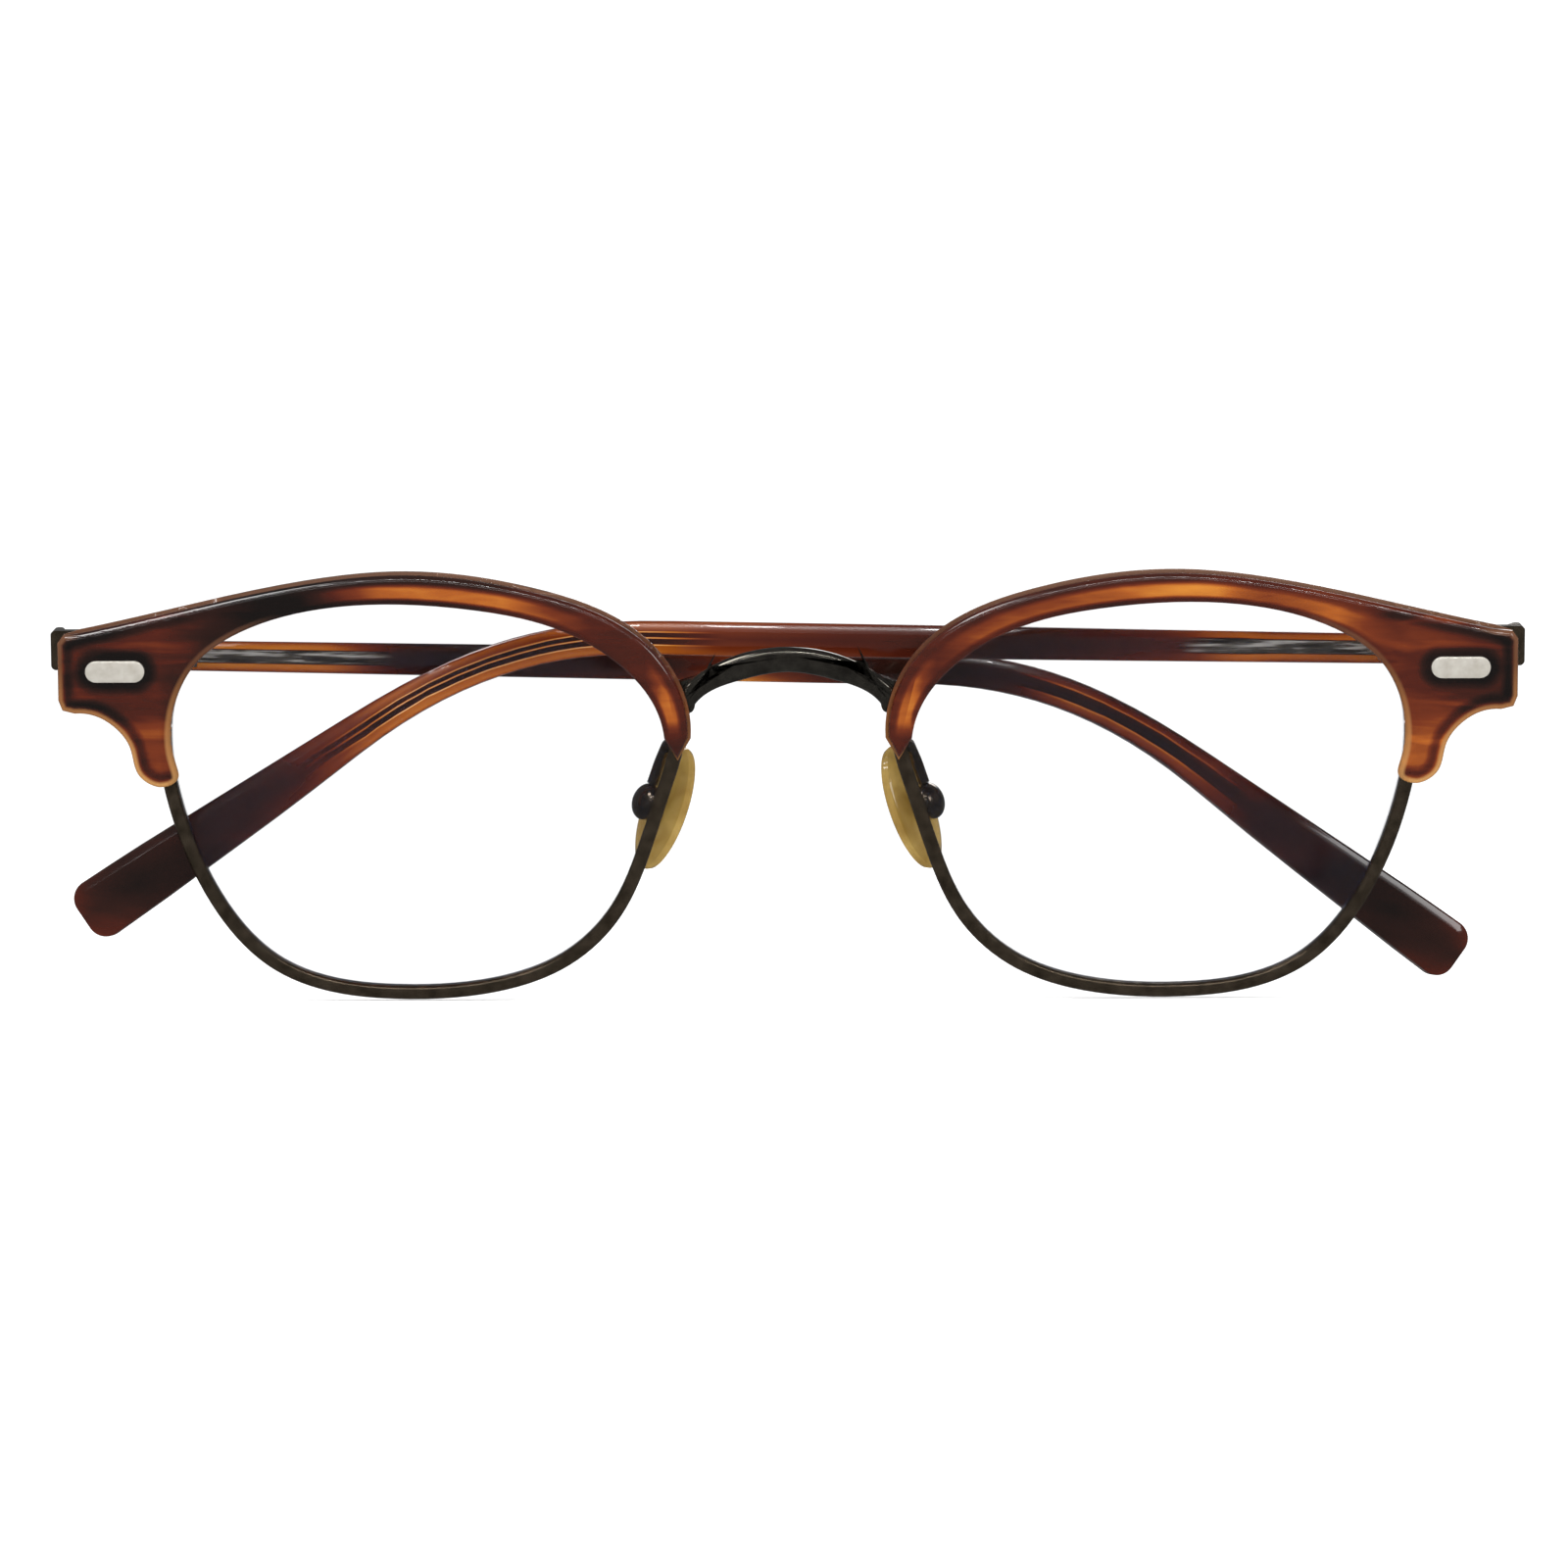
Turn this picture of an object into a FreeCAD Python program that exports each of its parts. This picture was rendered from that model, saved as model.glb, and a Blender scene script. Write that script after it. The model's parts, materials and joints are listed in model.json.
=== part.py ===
import FreeCAD, Part
import math
import os

# Browline eyeglasses with their temples folded, left temple first and right temple over it.
# Frame: X across the face with +X on the wearer's left, Z up, and the front facing -Y.
# The front is built upright in its own frame, with Z = 0 under the rims and Y running back from
# the brow's front face, and is then tilted about the hinges' height. Each temple is built along
# its own X, with its hinge axis on Z, and is then folded.

Vector, Rotation, Placement = FreeCAD.Vector, FreeCAD.Rotation, FreeCAD.Placement
doc = FreeCAD.newDocument("browline_glasses")
sheet = doc.addObject("Spreadsheet::Sheet", "sizes")

DIMENSIONS = [
    ("front_tilt", 8.0, "pantoscopic tilt of the front, degrees"),
    ("front_set_back", -11.68, "Y of the brow's front face at the hinges' height"),
    ("hinge_reach", 68.6, "half the distance between the hinge axes"),
    ("hinge_depth", 5.9, "hinge axis behind the brow's front face"),
    ("hinge_height", 34.5, "hinge centre above the rims' lowest point"),
    ("temple_lean", 1.0, "how far both hinge axes lean towards +X, degrees"),
    ("right_fold_angle", 6.0, "right temple from the front when folded, degrees"),
    ("brow_plate", 1.6, "thickness of the brow's front layer"),
    ("brow_ledge", 1.8, "depth of the brow's ledge over the eyewire"),
    ("rim_depth", 1.8, "eyewire, front to back"),
    ("rim_width", 1.45, "eyewire, across its section"),
    ("groove_depth", 0.45, "lens groove in the eyewire"),
    ("groove_start", 2.15, "front of the lens groove"),
    ("groove_width", 0.7, "lens groove, front to back"),
    ("lens_start", 1.75, "front face of the lens"),
    ("lens_thickness", 1.5, "lens, front to back"),
    ("lens_gap", 0.03, "gap between the lens and the eyewire"),
    ("bridge_start", 1.7, "front face of the bridge"),
    ("bridge_depth", 1.6, "bridge, front to back"),
    ("strap_thickness", 1.4, "metal end piece behind the brow"),
    ("strap_height", 3.9, "turned-back wall of the end piece, and the hinge stack"),
    ("strap_start", 61.0, "inner end of the end piece from the centre"),
    ("strap_end", 70.6, "outer end of the flat strap from the centre"),
    ("strap_foot", 31.4, "foot of the flat strap above the rims"),
    ("strap_top", 37.0, "top of the flat strap above the rims"),
    ("strap_reach", 72.6, "outer face of the turned-back wall"),
    ("wall_thickness", 1.2, "turned-back wall"),
    ("wall_end", 5.0, "rear end of the turned-back wall behind the brow's front face"),
    ("trim_length", 5.8, "trim plate"),
    ("trim_height", 2.1, "trim plate"),
    ("trim_proud", 0.3, "trim plate, standing out of the brow"),
    ("trim_sunk", 0.25, "trim plate, let into the brow"),
    ("trim_reach", 66.1, "middle of the trim plate from the centre"),
    ("trim_level", 33.15, "middle of the trim plate above the rims"),
    ("pin_radius", 0.4, "pins behind the trim plate"),
    ("hinge_base_start", 4.0, "front of the hinge's base ahead of its axis"),
    ("hinge_base_depth", 1.8, "hinge's base, front to back"),
    ("knuckle_radius", 1.25, "hinge knuckles"),
    ("knuckle_slot", 0.67, "half the slot between the front knuckles"),
    ("hinge_gap", 0.05, "working gap round the screw and between the knuckles"),
    ("screw_radius", 0.5, "hinge screw"),
    ("screw_head_radius", 0.95, "hinge screw's head"),
    ("screw_head_height", 0.4, "hinge screw's head"),
    ("screw_slot", 0.24, "driver slot in the hinge screw's head"),
    ("temple_face", 1.4, "temple's inner face from the hinge axis"),
    ("temple_thickness", 2.6, "temple, inner face to outer face"),
    ("temple_butt", 0.6, "temple's front end ahead of the hinge axis"),
    ("shaft_length", 83.0, "straight part of the temple"),
    ("bend_radius", 45.0, "ear bend on the temple's centre line"),
    ("bend_angle", 35.0, "ear bend, degrees"),
    ("tip_corner", 1.9, "rounding of the temple's tip"),
    ("core_start", 12.0, "front end of the core wire behind the hinge axis"),
    ("core_length", 26.0, "core wire in the straight part behind the bend"),
    ("core_radius", 0.45, "metal core of the temple"),
    ("leaf_start", 1.6, "front of the temple's hinge leaf"),
    ("leaf_length", 8.4, "temple's hinge leaf"),
    ("leaf_height", 2.3, "temple's hinge leaf"),
    ("leaf_thickness", 0.7, "temple's hinge leaf"),
    ("rivet_radius", 0.4, "temple rivets"),
    ("rivet_proud", 0.2, "rivet heads, standing out of the leaf"),
    ("first_rivet", 4.4, "first rivet behind the hinge axis"),
    ("second_rivet", 8.2, "second rivet behind the hinge axis"),
    ("pad_length", 12.8, "nose pad"),
    ("pad_width", 7.4, "nose pad"),
    ("pad_thickness", 2.0, "nose pad"),
    ("pad_reach", 12.3, "middle of the pad from the centre"),
    ("pad_set_back", 10.2, "middle of the pad behind the brow's front face"),
    ("pad_level", 19.0, "middle of the pad above the rims"),
    ("pad_splay", 33.0, "pad's turn about the vertical, degrees"),
    ("pad_lean", 19.0, "pad's lean towards the bridge, degrees"),
    ("pivot_height", 1.1, "pad's rocking axis above its back"),
    ("box_radius", 1.9, "pad box"),
    ("box_gap", 0.4, "gap between the pad's back and its box"),
    ("box_height", 1.9, "pad box"),
    ("tab_width", 1.2, "pad's tab along its screw"),
    ("tab_radius", 0.85, "pad's tab around its screw"),
    ("tab_gap", 0.1, "gap beside the tab in the box's slot"),
    ("slot_floor", 0.2, "floor of the box behind its slot"),
    ("pad_screw_radius", 0.35, "pad screw"),
    ("pad_screw_length", 3.5, "pad screw"),
    ("arm_radius", 0.55, "pad arm's wire"),
    ("arm_bend", 1.3, "pad arm's bends"),
    ("arm_root_reach", 12.0, "pad arm's root on the eyewire, from the centre"),
    ("arm_root_level", 25.0, "pad arm's root on the eyewire, above the rims"),
    ("arm_run_back", 2.6, "pad arm's first run, straight back"),
    ("arm_drop", 4.2, "pad arm's last bend above the middle of the box"),
    ("barrel_reach", 62.2, "inner side of the rim barrels"),
    ("barrel_width", 2.1, "rim barrels"),
    ("barrel_root", 0.6, "rim barrels' roots inside the eyewire"),
    ("barrel_height", 3.6, "both rim barrels together"),
    ("barrel_level", 27.4, "split of the eyewire above the rims"),
    ("split_gap", 0.3, "split of the eyewire"),
    ("rim_screw_radius", 0.45, "rim screw"),
    ("rim_screw_head_radius", 0.76, "rim screw's head"),
    ("rim_screw_head_height", 0.5, "rim screw's head"),
    ("clip_thickness", 0.7, "brow clip"),
    ("clip_width", 3.0, "brow clip"),
    ("clip_height", 2.0, "brow clip"),
    ("clip_drop", 1.65, "foot of the brow clip below its screw"),
    ("brow_screw_radius", 0.4, "brow screws"),
    ("brow_screw_head_radius", 0.6, "brow screws' heads"),
    ("brow_screw_head_height", 0.4, "brow screws' heads"),
    ("strap_screw_length", 2.4, "brow screw through the end piece"),
    ("clip_screw_length", 2.9, "brow screw through the clip"),
]

for row, (alias, value, meaning) in enumerate(DIMENSIONS, start=1):
    sheet.set(f"A{row}", meaning)
    sheet.set(f"B{row}", str(value))
    sheet.setAlias(f"B{row}", alias)
doc.recompute()

# Lens rim, brow and bridge outlines: distance from the centre, height above the rims
RIM = [(37.6, 0.0), (28.8, 0.75), (21.7, 3.4), (16.6, 8.3), (13.6, 14.8), (11.4, 21.4), (10.2, 27.0),
       (12.3, 32.5), (18.4, 37.4), (28.0, 40.4), (38.9, 41.3), (49.0, 40.4), (56.9, 37.1),
       (61.2, 32.2), (62.3, 26.2), (61.2, 19.2), (57.6, 10.3), (51.2, 3.1), (44.6, 0.6)]
BROW_TOP = [(9.6, 26.2), (10.4, 31.1), (13.5, 35.7), (18.3, 38.9), (24.5, 41.0), (31.0, 42.3),
            (38.5, 42.8), (47.0, 42.0), (58.0, 39.8), (69.6, 37.2)]
BROW_FOOT = [(70.2, 28.9), (66.4, 27.6), (64.8, 25.4), (64.1, 22.9), (62.2, 21.6), (59.9, 22.4)]
BROW_OPENING = [(59.9, 22.4), (60.8, 27.6), (58.3, 33.7), (53.6, 37.0), (46.3, 39.1), (38.9, 39.6),
                (30.9, 39.0), (23.5, 37.4), (17.0, 33.9), (13.4, 29.9), (12.2, 26.2)]
END_CORNER = [(71.2, 36.7), (71.8, 35.9), (71.8, 30.2), (71.4, 29.2)]
NOSE_TIP = (10.9, 24.0)
LEDGE_NOSE, LEDGE_EAR = 17.5, 61.0
# A height inside the eyewire, below which the ledge is cut away
LEDGE_FOOT = 30.0
STRAP_SCREW = (64.0, 36.0)
CLIP_SCREW = (30.0, 41.15)
BRIDGE_TOP = [(0.0, 35.1), (5.9, 34.0), (9.2, 32.2), (11.8, 29.6)]
BRIDGE_UNDER = [(0.0, 32.6), (5.0, 31.7), (8.4, 30.2), (9.8, 28.3)]
# Temple's half height along its centre line
TEMPLE_HALF_HEIGHTS = [(0.0, 1.45), (25.0, 1.55), (50.0, 1.65), (68.0, 1.7), (78.0, 1.7),
                       (86.0, 1.65), (97.0, 1.6), (110.0, 1.7), (119.0, 2.1), (132.0, 2.7),
                       (144.5, 3.05)]

SIDES = {"right": -1, "left": 1}
BACKWARDS = Vector(0, 1, 0)
ACROSS = Vector(1, 0, 0)
UP = Vector(0, 0, 1)
# How far a cutting tool reaches past what it cuts, and how deep a fused root is sunk
CLEAR = 5.0
ROOT = 1.0
made = []


def size(alias):
    return float(sheet.get(alias))


def front_placement():
    """Tilts the front about the hinges' height and stands the rims' lowest point on Z = 0."""
    tilt = Rotation(ACROSS, size("front_tilt"))
    rim_foot = tilt.multVec(Vector(0, size("brow_plate"), 0)).z
    pivot = (size("hinge_height") + rim_foot) / math.cos(math.radians(size("front_tilt")))
    turned_pivot = tilt.multVec(Vector(0, 0, pivot))
    base = Vector(0, size("front_set_back"), size("hinge_height")) - turned_pivot
    return Placement(base, tilt), pivot


FRONT, PIVOT_LEVEL = front_placement()


def hinge_placement(side):
    """The hinge's own frame: origin at the middle of the hinge, Z along its axis."""
    base = Vector(side * size("hinge_reach"), size("front_set_back") + size("hinge_depth"),
                  size("hinge_height"))
    return Placement(base, Rotation(BACKWARDS, size("temple_lean")))


def temple_placement(side):
    """The hinge's frame turned to the folded temple: the left lies flat, the right over it."""
    fold = size("right_fold_angle") if side < 0 else 0.0
    return hinge_placement(side) * Placement(Vector(), Rotation(UP, fold))


def pad_placement(side):
    """The pad's own frame: Z along the pad, X along its screw, Y from the nose outwards."""
    middle = Vector(side * size("pad_reach"), size("front_set_back") + size("pad_set_back"),
                    size("pad_level"))
    lean = Rotation(BACKWARDS, -side * size("pad_lean"))
    splay = Rotation(UP, -side * (90 + size("pad_splay")))
    return Placement(middle, lean * splay)


def finish(node, shape_object, placement=None):
    """Names a finished sub-part and puts it in its place."""
    shape_object.Label = node
    if placement is not None:
        shape_object.Placement = placement
    made.append(shape_object)
    return shape_object


def sketch(name, curves, start):
    """A sketch on the XZ plane. start is a sheet alias or a number, its distance back along Y."""
    drawn = doc.addObject("Sketcher::SketchObject", name)
    drawn.addGeometry(curves, False)
    drawn.Placement = Placement(Vector(), Rotation(ACROSS, 90))
    expression = f"sizes.{start}" if isinstance(start, str) else str(start)
    drawn.setExpression("Placement.Base.y", expression)
    return drawn


def slab(name, drawn, depth):
    """A sketch extruded backwards by a sheet expression."""
    solid = doc.addObject("Part::Extrusion", name)
    solid.Base = drawn
    solid.DirMode = "Custom"
    solid.Dir = BACKWARDS
    solid.Solid = True
    solid.setExpression("LengthFwd", depth)
    return solid


def box(name, low, extent, placement=None):
    """A box from its low corner and its extent, in any frame."""
    solid = doc.addObject("Part::Box", name)
    solid.Length, solid.Width, solid.Height = extent
    solid.Placement = (placement or Placement()) * Placement(Vector(*low), Rotation())
    return solid


def rod(name, radius, start, direction, length, placement=None):
    """A cylinder of a sheet radius from a start point along a direction."""
    solid = doc.addObject("Part::Cylinder", name)
    solid.setExpression("Radius", radius)
    solid.Height = length
    solid.Placement = (placement or Placement()) * Placement(
        Vector(*start), Rotation(UP, Vector(*direction)))
    return solid


def cut(name, base, tool):
    result = doc.addObject("Part::Cut", name)
    result.Base, result.Tool = base, tool
    return result


def fuse(name, *pieces):
    result = doc.addObject("Part::MultiFuse", name)
    result.Shapes = list(pieces)
    return result


def group(name, *pieces):
    """Separate solids that share one node."""
    result = doc.addObject("Part::Compound", name)
    result.Links = list(pieces)
    return result


def curve_through(points, side=1):
    """A smooth curve through the points of an outline, on the side that is asked for."""
    curve = Part.BSplineCurve()
    curve.interpolate([Vector(side * across, height, 0) for across, height in points])
    return curve


def line_between(first, last, side=1):
    return Part.LineSegment(Vector(side * first[0], first[1], 0), Vector(side * last[0], last[1], 0))


def rim_curve(side, inset=0.0):
    """The eyewire's closed outline, or one set in from it by the same distance all round."""
    outer = Part.BSplineCurve()
    outer.interpolate([Vector(side * across, height, 0) for across, height in RIM], PeriodicFlag=True)
    if not inset:
        return outer
    inner_points = []
    middle = Vector(side * size("trim_reach") / 2, PIVOT_LEVEL / 2, 0)
    for across, height in RIM:
        point = Vector(side * across, height, 0)
        tangent = outer.tangent(outer.parameter(point))[0]
        normal = Vector(-tangent.y, tangent.x, 0).normalize()
        if normal.dot(middle - point) < 0:
            normal = -normal
        inner_points.append(point + normal * inset)
    inner = Part.BSplineCurve()
    inner.interpolate(inner_points, PeriodicFlag=True)
    return inner


def eyewire_and_lens(word, side):
    """A metal rim with a lens groove, split at its closing block, and the lens that it holds."""
    ring_depth = "sizes.rim_depth"
    outer = slab(f"{word}_rim_disc", sketch(f"{word}_rim_outline", [rim_curve(side)], "brow_plate"),
                 ring_depth)
    opening = slab(f"{word}_rim_opening_disc",
                   sketch(f"{word}_rim_opening", [rim_curve(side, size("rim_width"))], "brow_plate"),
                   ring_depth)
    groove = slab(f"{word}_groove_disc",
                  sketch(f"{word}_groove_outline",
                         [rim_curve(side, size("rim_width") - size("groove_depth"))],
                         "groove_start"),
                  "sizes.groove_width")
    ring = cut(f"{word}_ring", outer, fuse(f"{word}_ring_inside", opening, groove))
    low_x = side * size("barrel_reach") - CLEAR / 2
    split = box(f"{word}_rim_split", (low_x, 0, size("barrel_level") - size("split_gap") / 2),
                (CLEAR, CLEAR, size("split_gap")))
    finish(f"{word}_eyewire", cut(f"{word}_eyewire", ring, split), FRONT)

    plate_inset = size("rim_width") + size("lens_gap")
    plate = slab(f"{word}_lens_plate",
                 sketch(f"{word}_lens_outline", [rim_curve(side, plate_inset)], "lens_start"),
                 "sizes.lens_thickness")
    bevel = slab(f"{word}_lens_bevel",
                 sketch(f"{word}_bevel_outline",
                        [rim_curve(side, plate_inset - size("groove_depth"))],
                        "groove_start + sizes.lens_gap"),
                 "sizes.groove_width - 2 * sizes.lens_gap")
    finish(f"{word}_lens", fuse(f"{word}_lens", plate, bevel), FRONT)
    return outer


def trim_plate(word, side):
    """A bar with rounded ends on two pins, let into the front of the brow's end piece."""
    middle, level = side * size("trim_reach"), size("trim_level")
    half_height = size("trim_height") / 2
    half_straight = size("trim_length") / 2 - half_height
    right_end, left_end = middle + half_straight, middle - half_straight
    top, foot = level + half_height, level - half_height
    outline = [
        Part.LineSegment(Vector(left_end, foot, 0), Vector(right_end, foot, 0)),
        Part.Arc(Vector(right_end, foot, 0), Vector(right_end + half_height, level, 0),
                 Vector(right_end, top, 0)),
        Part.LineSegment(Vector(right_end, top, 0), Vector(left_end, top, 0)),
        Part.Arc(Vector(left_end, top, 0), Vector(left_end - half_height, level, 0),
                 Vector(left_end, foot, 0)),
    ]
    bar = slab(f"{word}_trim_bar", sketch(f"{word}_trim_outline", outline, "trim_proud * -1"),
               "sizes.trim_proud + sizes.trim_sunk")
    pin_length = size("brow_plate") + size("strap_thickness")
    pins = [rod(f"{word}_trim_pin_{number}", "sizes.pin_radius", (middle + offset, 0, level),
                (0, 1, 0), pin_length)
            for number, offset in enumerate((-half_straight, half_straight), start=1)]
    return finish(f"{word}_trim_plate", fuse(f"{word}_trim_plate", bar, *pins), FRONT)


def brow_screws(word, side):
    """Two screws from behind: one through the strap, one through the clip by the bridge."""
    behind_strap = size("brow_plate") + size("strap_thickness")
    behind_clip = size("brow_plate") + size("rim_depth") + size("clip_thickness")
    screws = []
    for number, ((across, height), head_start, length) in enumerate([
            (STRAP_SCREW, behind_strap, size("strap_screw_length")),
            (CLIP_SCREW, behind_clip, size("clip_screw_length"))], start=1):
        head = rod(f"{word}_brow_screw_head_{number}", "sizes.brow_screw_head_radius",
                   (side * across, head_start, height), (0, 1, 0), size("brow_screw_head_height"))
        shank = rod(f"{word}_brow_screw_shank_{number}", "sizes.brow_screw_radius",
                    (side * across, head_start - length, height), (0, 1, 0), length)
        screws.append(fuse(f"{word}_brow_screw_{number}", head, shank))
    return finish(f"{word}_brow_screws", group(f"{word}_brow_screws", *screws), FRONT)


def unplaced(placed, name):
    """A placed sub-part taken back to the front's own frame, to cut its seat in a neighbour."""
    seat = doc.addObject("Part::Compound", name)
    seat.Links = [placed]
    seat.Placement = FRONT.inverse()
    return seat


def brow(word, side, rim_disc, trim, screws):
    """The acetate cap: a front layer with the end piece and leg, and a ledge over the eyewire."""
    corner_start, corner_end = END_CORNER[0], END_CORNER[-1]
    front_outline = [
        curve_through(BROW_TOP, side),
        line_between(BROW_TOP[-1], corner_start, side),
        line_between(corner_start, END_CORNER[1], side),
        line_between(END_CORNER[1], END_CORNER[2], side),
        line_between(END_CORNER[2], corner_end, side),
        line_between(corner_end, BROW_FOOT[0], side),
        curve_through(BROW_FOOT, side),
        curve_through(BROW_OPENING, side),
        line_between(BROW_OPENING[-1], NOSE_TIP, side),
        line_between(NOSE_TIP, BROW_TOP[0], side),
    ]
    layer = slab(f"{word}_brow_layer", sketch(f"{word}_brow_outline", front_outline, 0),
                 "sizes.brow_plate")
    ledge_top = [point for point in BROW_TOP if LEDGE_NOSE < point[0] < LEDGE_EAR]
    nose_foot, ear_foot = (ledge_top[0][0], LEDGE_FOOT), (ledge_top[-1][0], LEDGE_FOOT)
    ledge_outline = [
        curve_through(ledge_top, side),
        line_between(ledge_top[-1], ear_foot, side),
        line_between(ear_foot, nose_foot, side),
        line_between(nose_foot, ledge_top[0], side),
    ]
    full_ledge = slab(f"{word}_brow_ledge", sketch(f"{word}_ledge_outline", ledge_outline,
                                                   "brow_plate"),
                      "sizes.brow_ledge")
    ledge = cut(f"{word}_brow_ledge_over_rim", full_ledge, rim_disc)
    solid = fuse(f"{word}_brow_solid", layer, ledge)
    seats = fuse(f"{word}_brow_seats", unplaced(trim, f"{word}_trim_seat"),
                 unplaced(screws, f"{word}_screw_seats"))
    finish(f"{word}_brow", cut(f"{word}_brow", solid, seats), FRONT)


def end_piece(word, side, rim_disc, trim, screws):
    """The metal strap behind the brow's end, turned back at its outer end."""
    start, thickness = size("brow_plate"), size("strap_thickness")
    half = size("strap_height") / 2
    inner, strap_end, outer = size("strap_start"), size("strap_end"), size("strap_reach")
    low_x = min(side * inner, side * strap_end)
    strap = box(f"{word}_strap", (low_x, start, size("strap_foot")),
                (strap_end - inner, thickness, size("strap_top") - size("strap_foot")))
    low_x = min(side * (strap_end - ROOT), side * outer)
    neck = box(f"{word}_strap_neck", (low_x, start, PIVOT_LEVEL - half),
               (outer - strap_end + ROOT, thickness, size("strap_height")))
    wall_inner = outer - size("wall_thickness")
    low_x = min(side * wall_inner, side * outer)
    wall = box(f"{word}_strap_wall", (low_x, start, PIVOT_LEVEL - half),
               (size("wall_thickness"), size("wall_end") + CLEAR, size("strap_height")))
    bent = fuse(f"{word}_bent_strap", strap, neck, wall)
    seats = fuse(f"{word}_strap_seats", rim_disc, unplaced(trim, f"{word}_trim_hole"),
                 unplaced(screws, f"{word}_strap_screw_hole"))
    trimmed = cut(f"{word}_trimmed_strap", bent, seats)
    trimmed.Placement = FRONT
    behind = box(f"{word}_behind_wall",
                 (side * outer - CLEAR, size("front_set_back") + size("wall_end"), 0),
                 (2 * CLEAR, 2 * CLEAR, 2 * size("hinge_height")))
    finish(f"{word}_end_piece", cut(f"{word}_end_piece", trimmed, behind))


def front_hinge(word, side):
    """Two knuckles on a base that is soldered to the strap, in the hinge's frame."""
    place = hinge_placement(side)
    half, slot, radius = size("strap_height") / 2, size("knuckle_slot"), size("knuckle_radius")
    front = size("hinge_base_start")
    knuckles = []
    for number, start in enumerate((-half, slot), start=1):
        knuckles.append(rod(f"{word}_front_knuckle_{number}", "sizes.knuckle_radius",
                            (0, 0, start), (0, 0, 1), half - slot, place))
        knuckles.append(box(f"{word}_knuckle_web_{number}", (-radius, -front, start),
                            (2 * radius, front, half - slot), place))
    base = box(f"{word}_hinge_base", (-2 * radius, -front, -half),
               (4 * radius, size("hinge_base_depth"), 2 * half), place)
    solid = fuse(f"{word}_hinge_blank", base, *knuckles)
    ahead = box(f"{word}_ahead_of_hinge",
                (side * size("hinge_reach") - CLEAR, -CLEAR, PIVOT_LEVEL - CLEAR),
                (2 * CLEAR, CLEAR + size("brow_plate") + size("strap_thickness"), 2 * CLEAR), FRONT)
    bore = rod(f"{word}_front_bore", "sizes.screw_radius + sizes.hinge_gap", (0, 0, -CLEAR),
               (0, 0, 1), 2 * CLEAR, place)
    finish(f"{word}_front_hinge",
           cut(f"{word}_front_hinge", solid, fuse(f"{word}_hinge_cuts", ahead, bore)))


def hinge_screw(word, side):
    """The screw that a temple turns on, with a slotted head on top."""
    place = hinge_placement(side)
    half, head = size("strap_height") / 2, size("screw_head_height")
    shank = rod(f"{word}_hinge_shank", "sizes.screw_radius", (0, 0, -half), (0, 0, 1),
                2 * half, place)
    cap = rod(f"{word}_hinge_head", "sizes.screw_head_radius", (0, 0, half), (0, 0, 1), head, place)
    slot_width = size("screw_slot")
    slot = box(f"{word}_hinge_slot", (-CLEAR, -slot_width / 2, half + head / 2),
               (2 * CLEAR, slot_width, head), place)
    whole = fuse(f"{word}_hinge_screw_blank", shank, cap)
    finish(f"{word}_hinge_screw", cut(f"{word}_hinge_screw", whole, slot))


def temple_line(distance):
    """A point on the temple's centre line, and the direction there, from the distance along it."""
    shaft, radius = size("shaft_length"), size("bend_radius")
    full_bend = math.radians(size("bend_angle"))
    if distance <= shaft:
        return Vector(distance, 0, 0), Vector(1, 0, 0)
    turn = min((distance - shaft) / radius, full_bend)
    past = max(distance - shaft - radius * full_bend, 0)
    ahead = Vector(math.cos(turn), -math.sin(turn), 0)
    on_arc = Vector(shaft + radius * math.sin(turn), radius * (math.cos(turn) - 1), 0)
    return on_arc + ahead * past, ahead


def temple_outline(side):
    """The temple from its side: an upper and a lower curve, and a blunt tip with round corners.
    It runs along +X on the right and along -X on the left."""
    upper, lower = [], []
    for distance, half_height in TEMPLE_HALF_HEIGHTS:
        point, ahead = temple_line(distance)
        across = Vector(-ahead.y, ahead.x, 0) * half_height
        upper.append(point + across)
        lower.append(point - across)
    upper[0].x = lower[0].x = -size("temple_butt")
    end, ahead = temple_line(TEMPLE_HALF_HEIGHTS[-1][0])
    across = Vector(-ahead.y, ahead.x, 0)
    corner, half_height = size("tip_corner"), TEMPLE_HALF_HEIGHTS[-1][1]
    corner_middle = corner * math.sin(math.radians(45))
    tip = [end + ahead * forward + across * sideways for forward, sideways in (
        (corner_middle, half_height - corner + corner_middle),
        (corner, half_height - corner),
        (corner, corner - half_height),
        (corner_middle, corner - half_height - corner_middle))]
    for point in upper + lower + tip:
        point.x *= -side
    top, foot = Part.BSplineCurve(), Part.BSplineCurve()
    top.interpolate(upper)
    foot.interpolate(lower)
    return [top, Part.Arc(upper[-1], tip[0], tip[1]), Part.LineSegment(tip[1], tip[2]),
            Part.Arc(tip[2], tip[3], lower[-1]), foot, Part.LineSegment(lower[0], upper[0])]


def temple_core_shape(side):
    """A straight wire, a bend and a straight end, inside the acetate."""
    middle = size("temple_face") + size("temple_thickness") / 2
    start, shaft = Vector(size("core_start"), 0, 0), temple_line(size("shaft_length"))[0]
    arc_length = size("bend_radius") * math.radians(size("bend_angle"))
    arc_middle = temple_line(size("shaft_length") + arc_length / 2)[0]
    arc_end = temple_line(size("shaft_length") + arc_length)[0]
    end = temple_line(size("shaft_length") + arc_length + size("core_length"))[0]
    spots = [Vector(-side * spot.x, middle, spot.y)
             for spot in (start, shaft, arc_middle, arc_end, end)]
    path = Part.Wire([Part.LineSegment(spots[0], spots[1]).toShape(),
                      Part.Arc(spots[1], spots[2], spots[3]).toShape(),
                      Part.LineSegment(spots[3], spots[4]).toShape()])
    section = Part.Wire(Part.Circle(spots[0], ACROSS, size("core_radius")).toShape())
    return path.makePipeShell([section], True, False)


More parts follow.
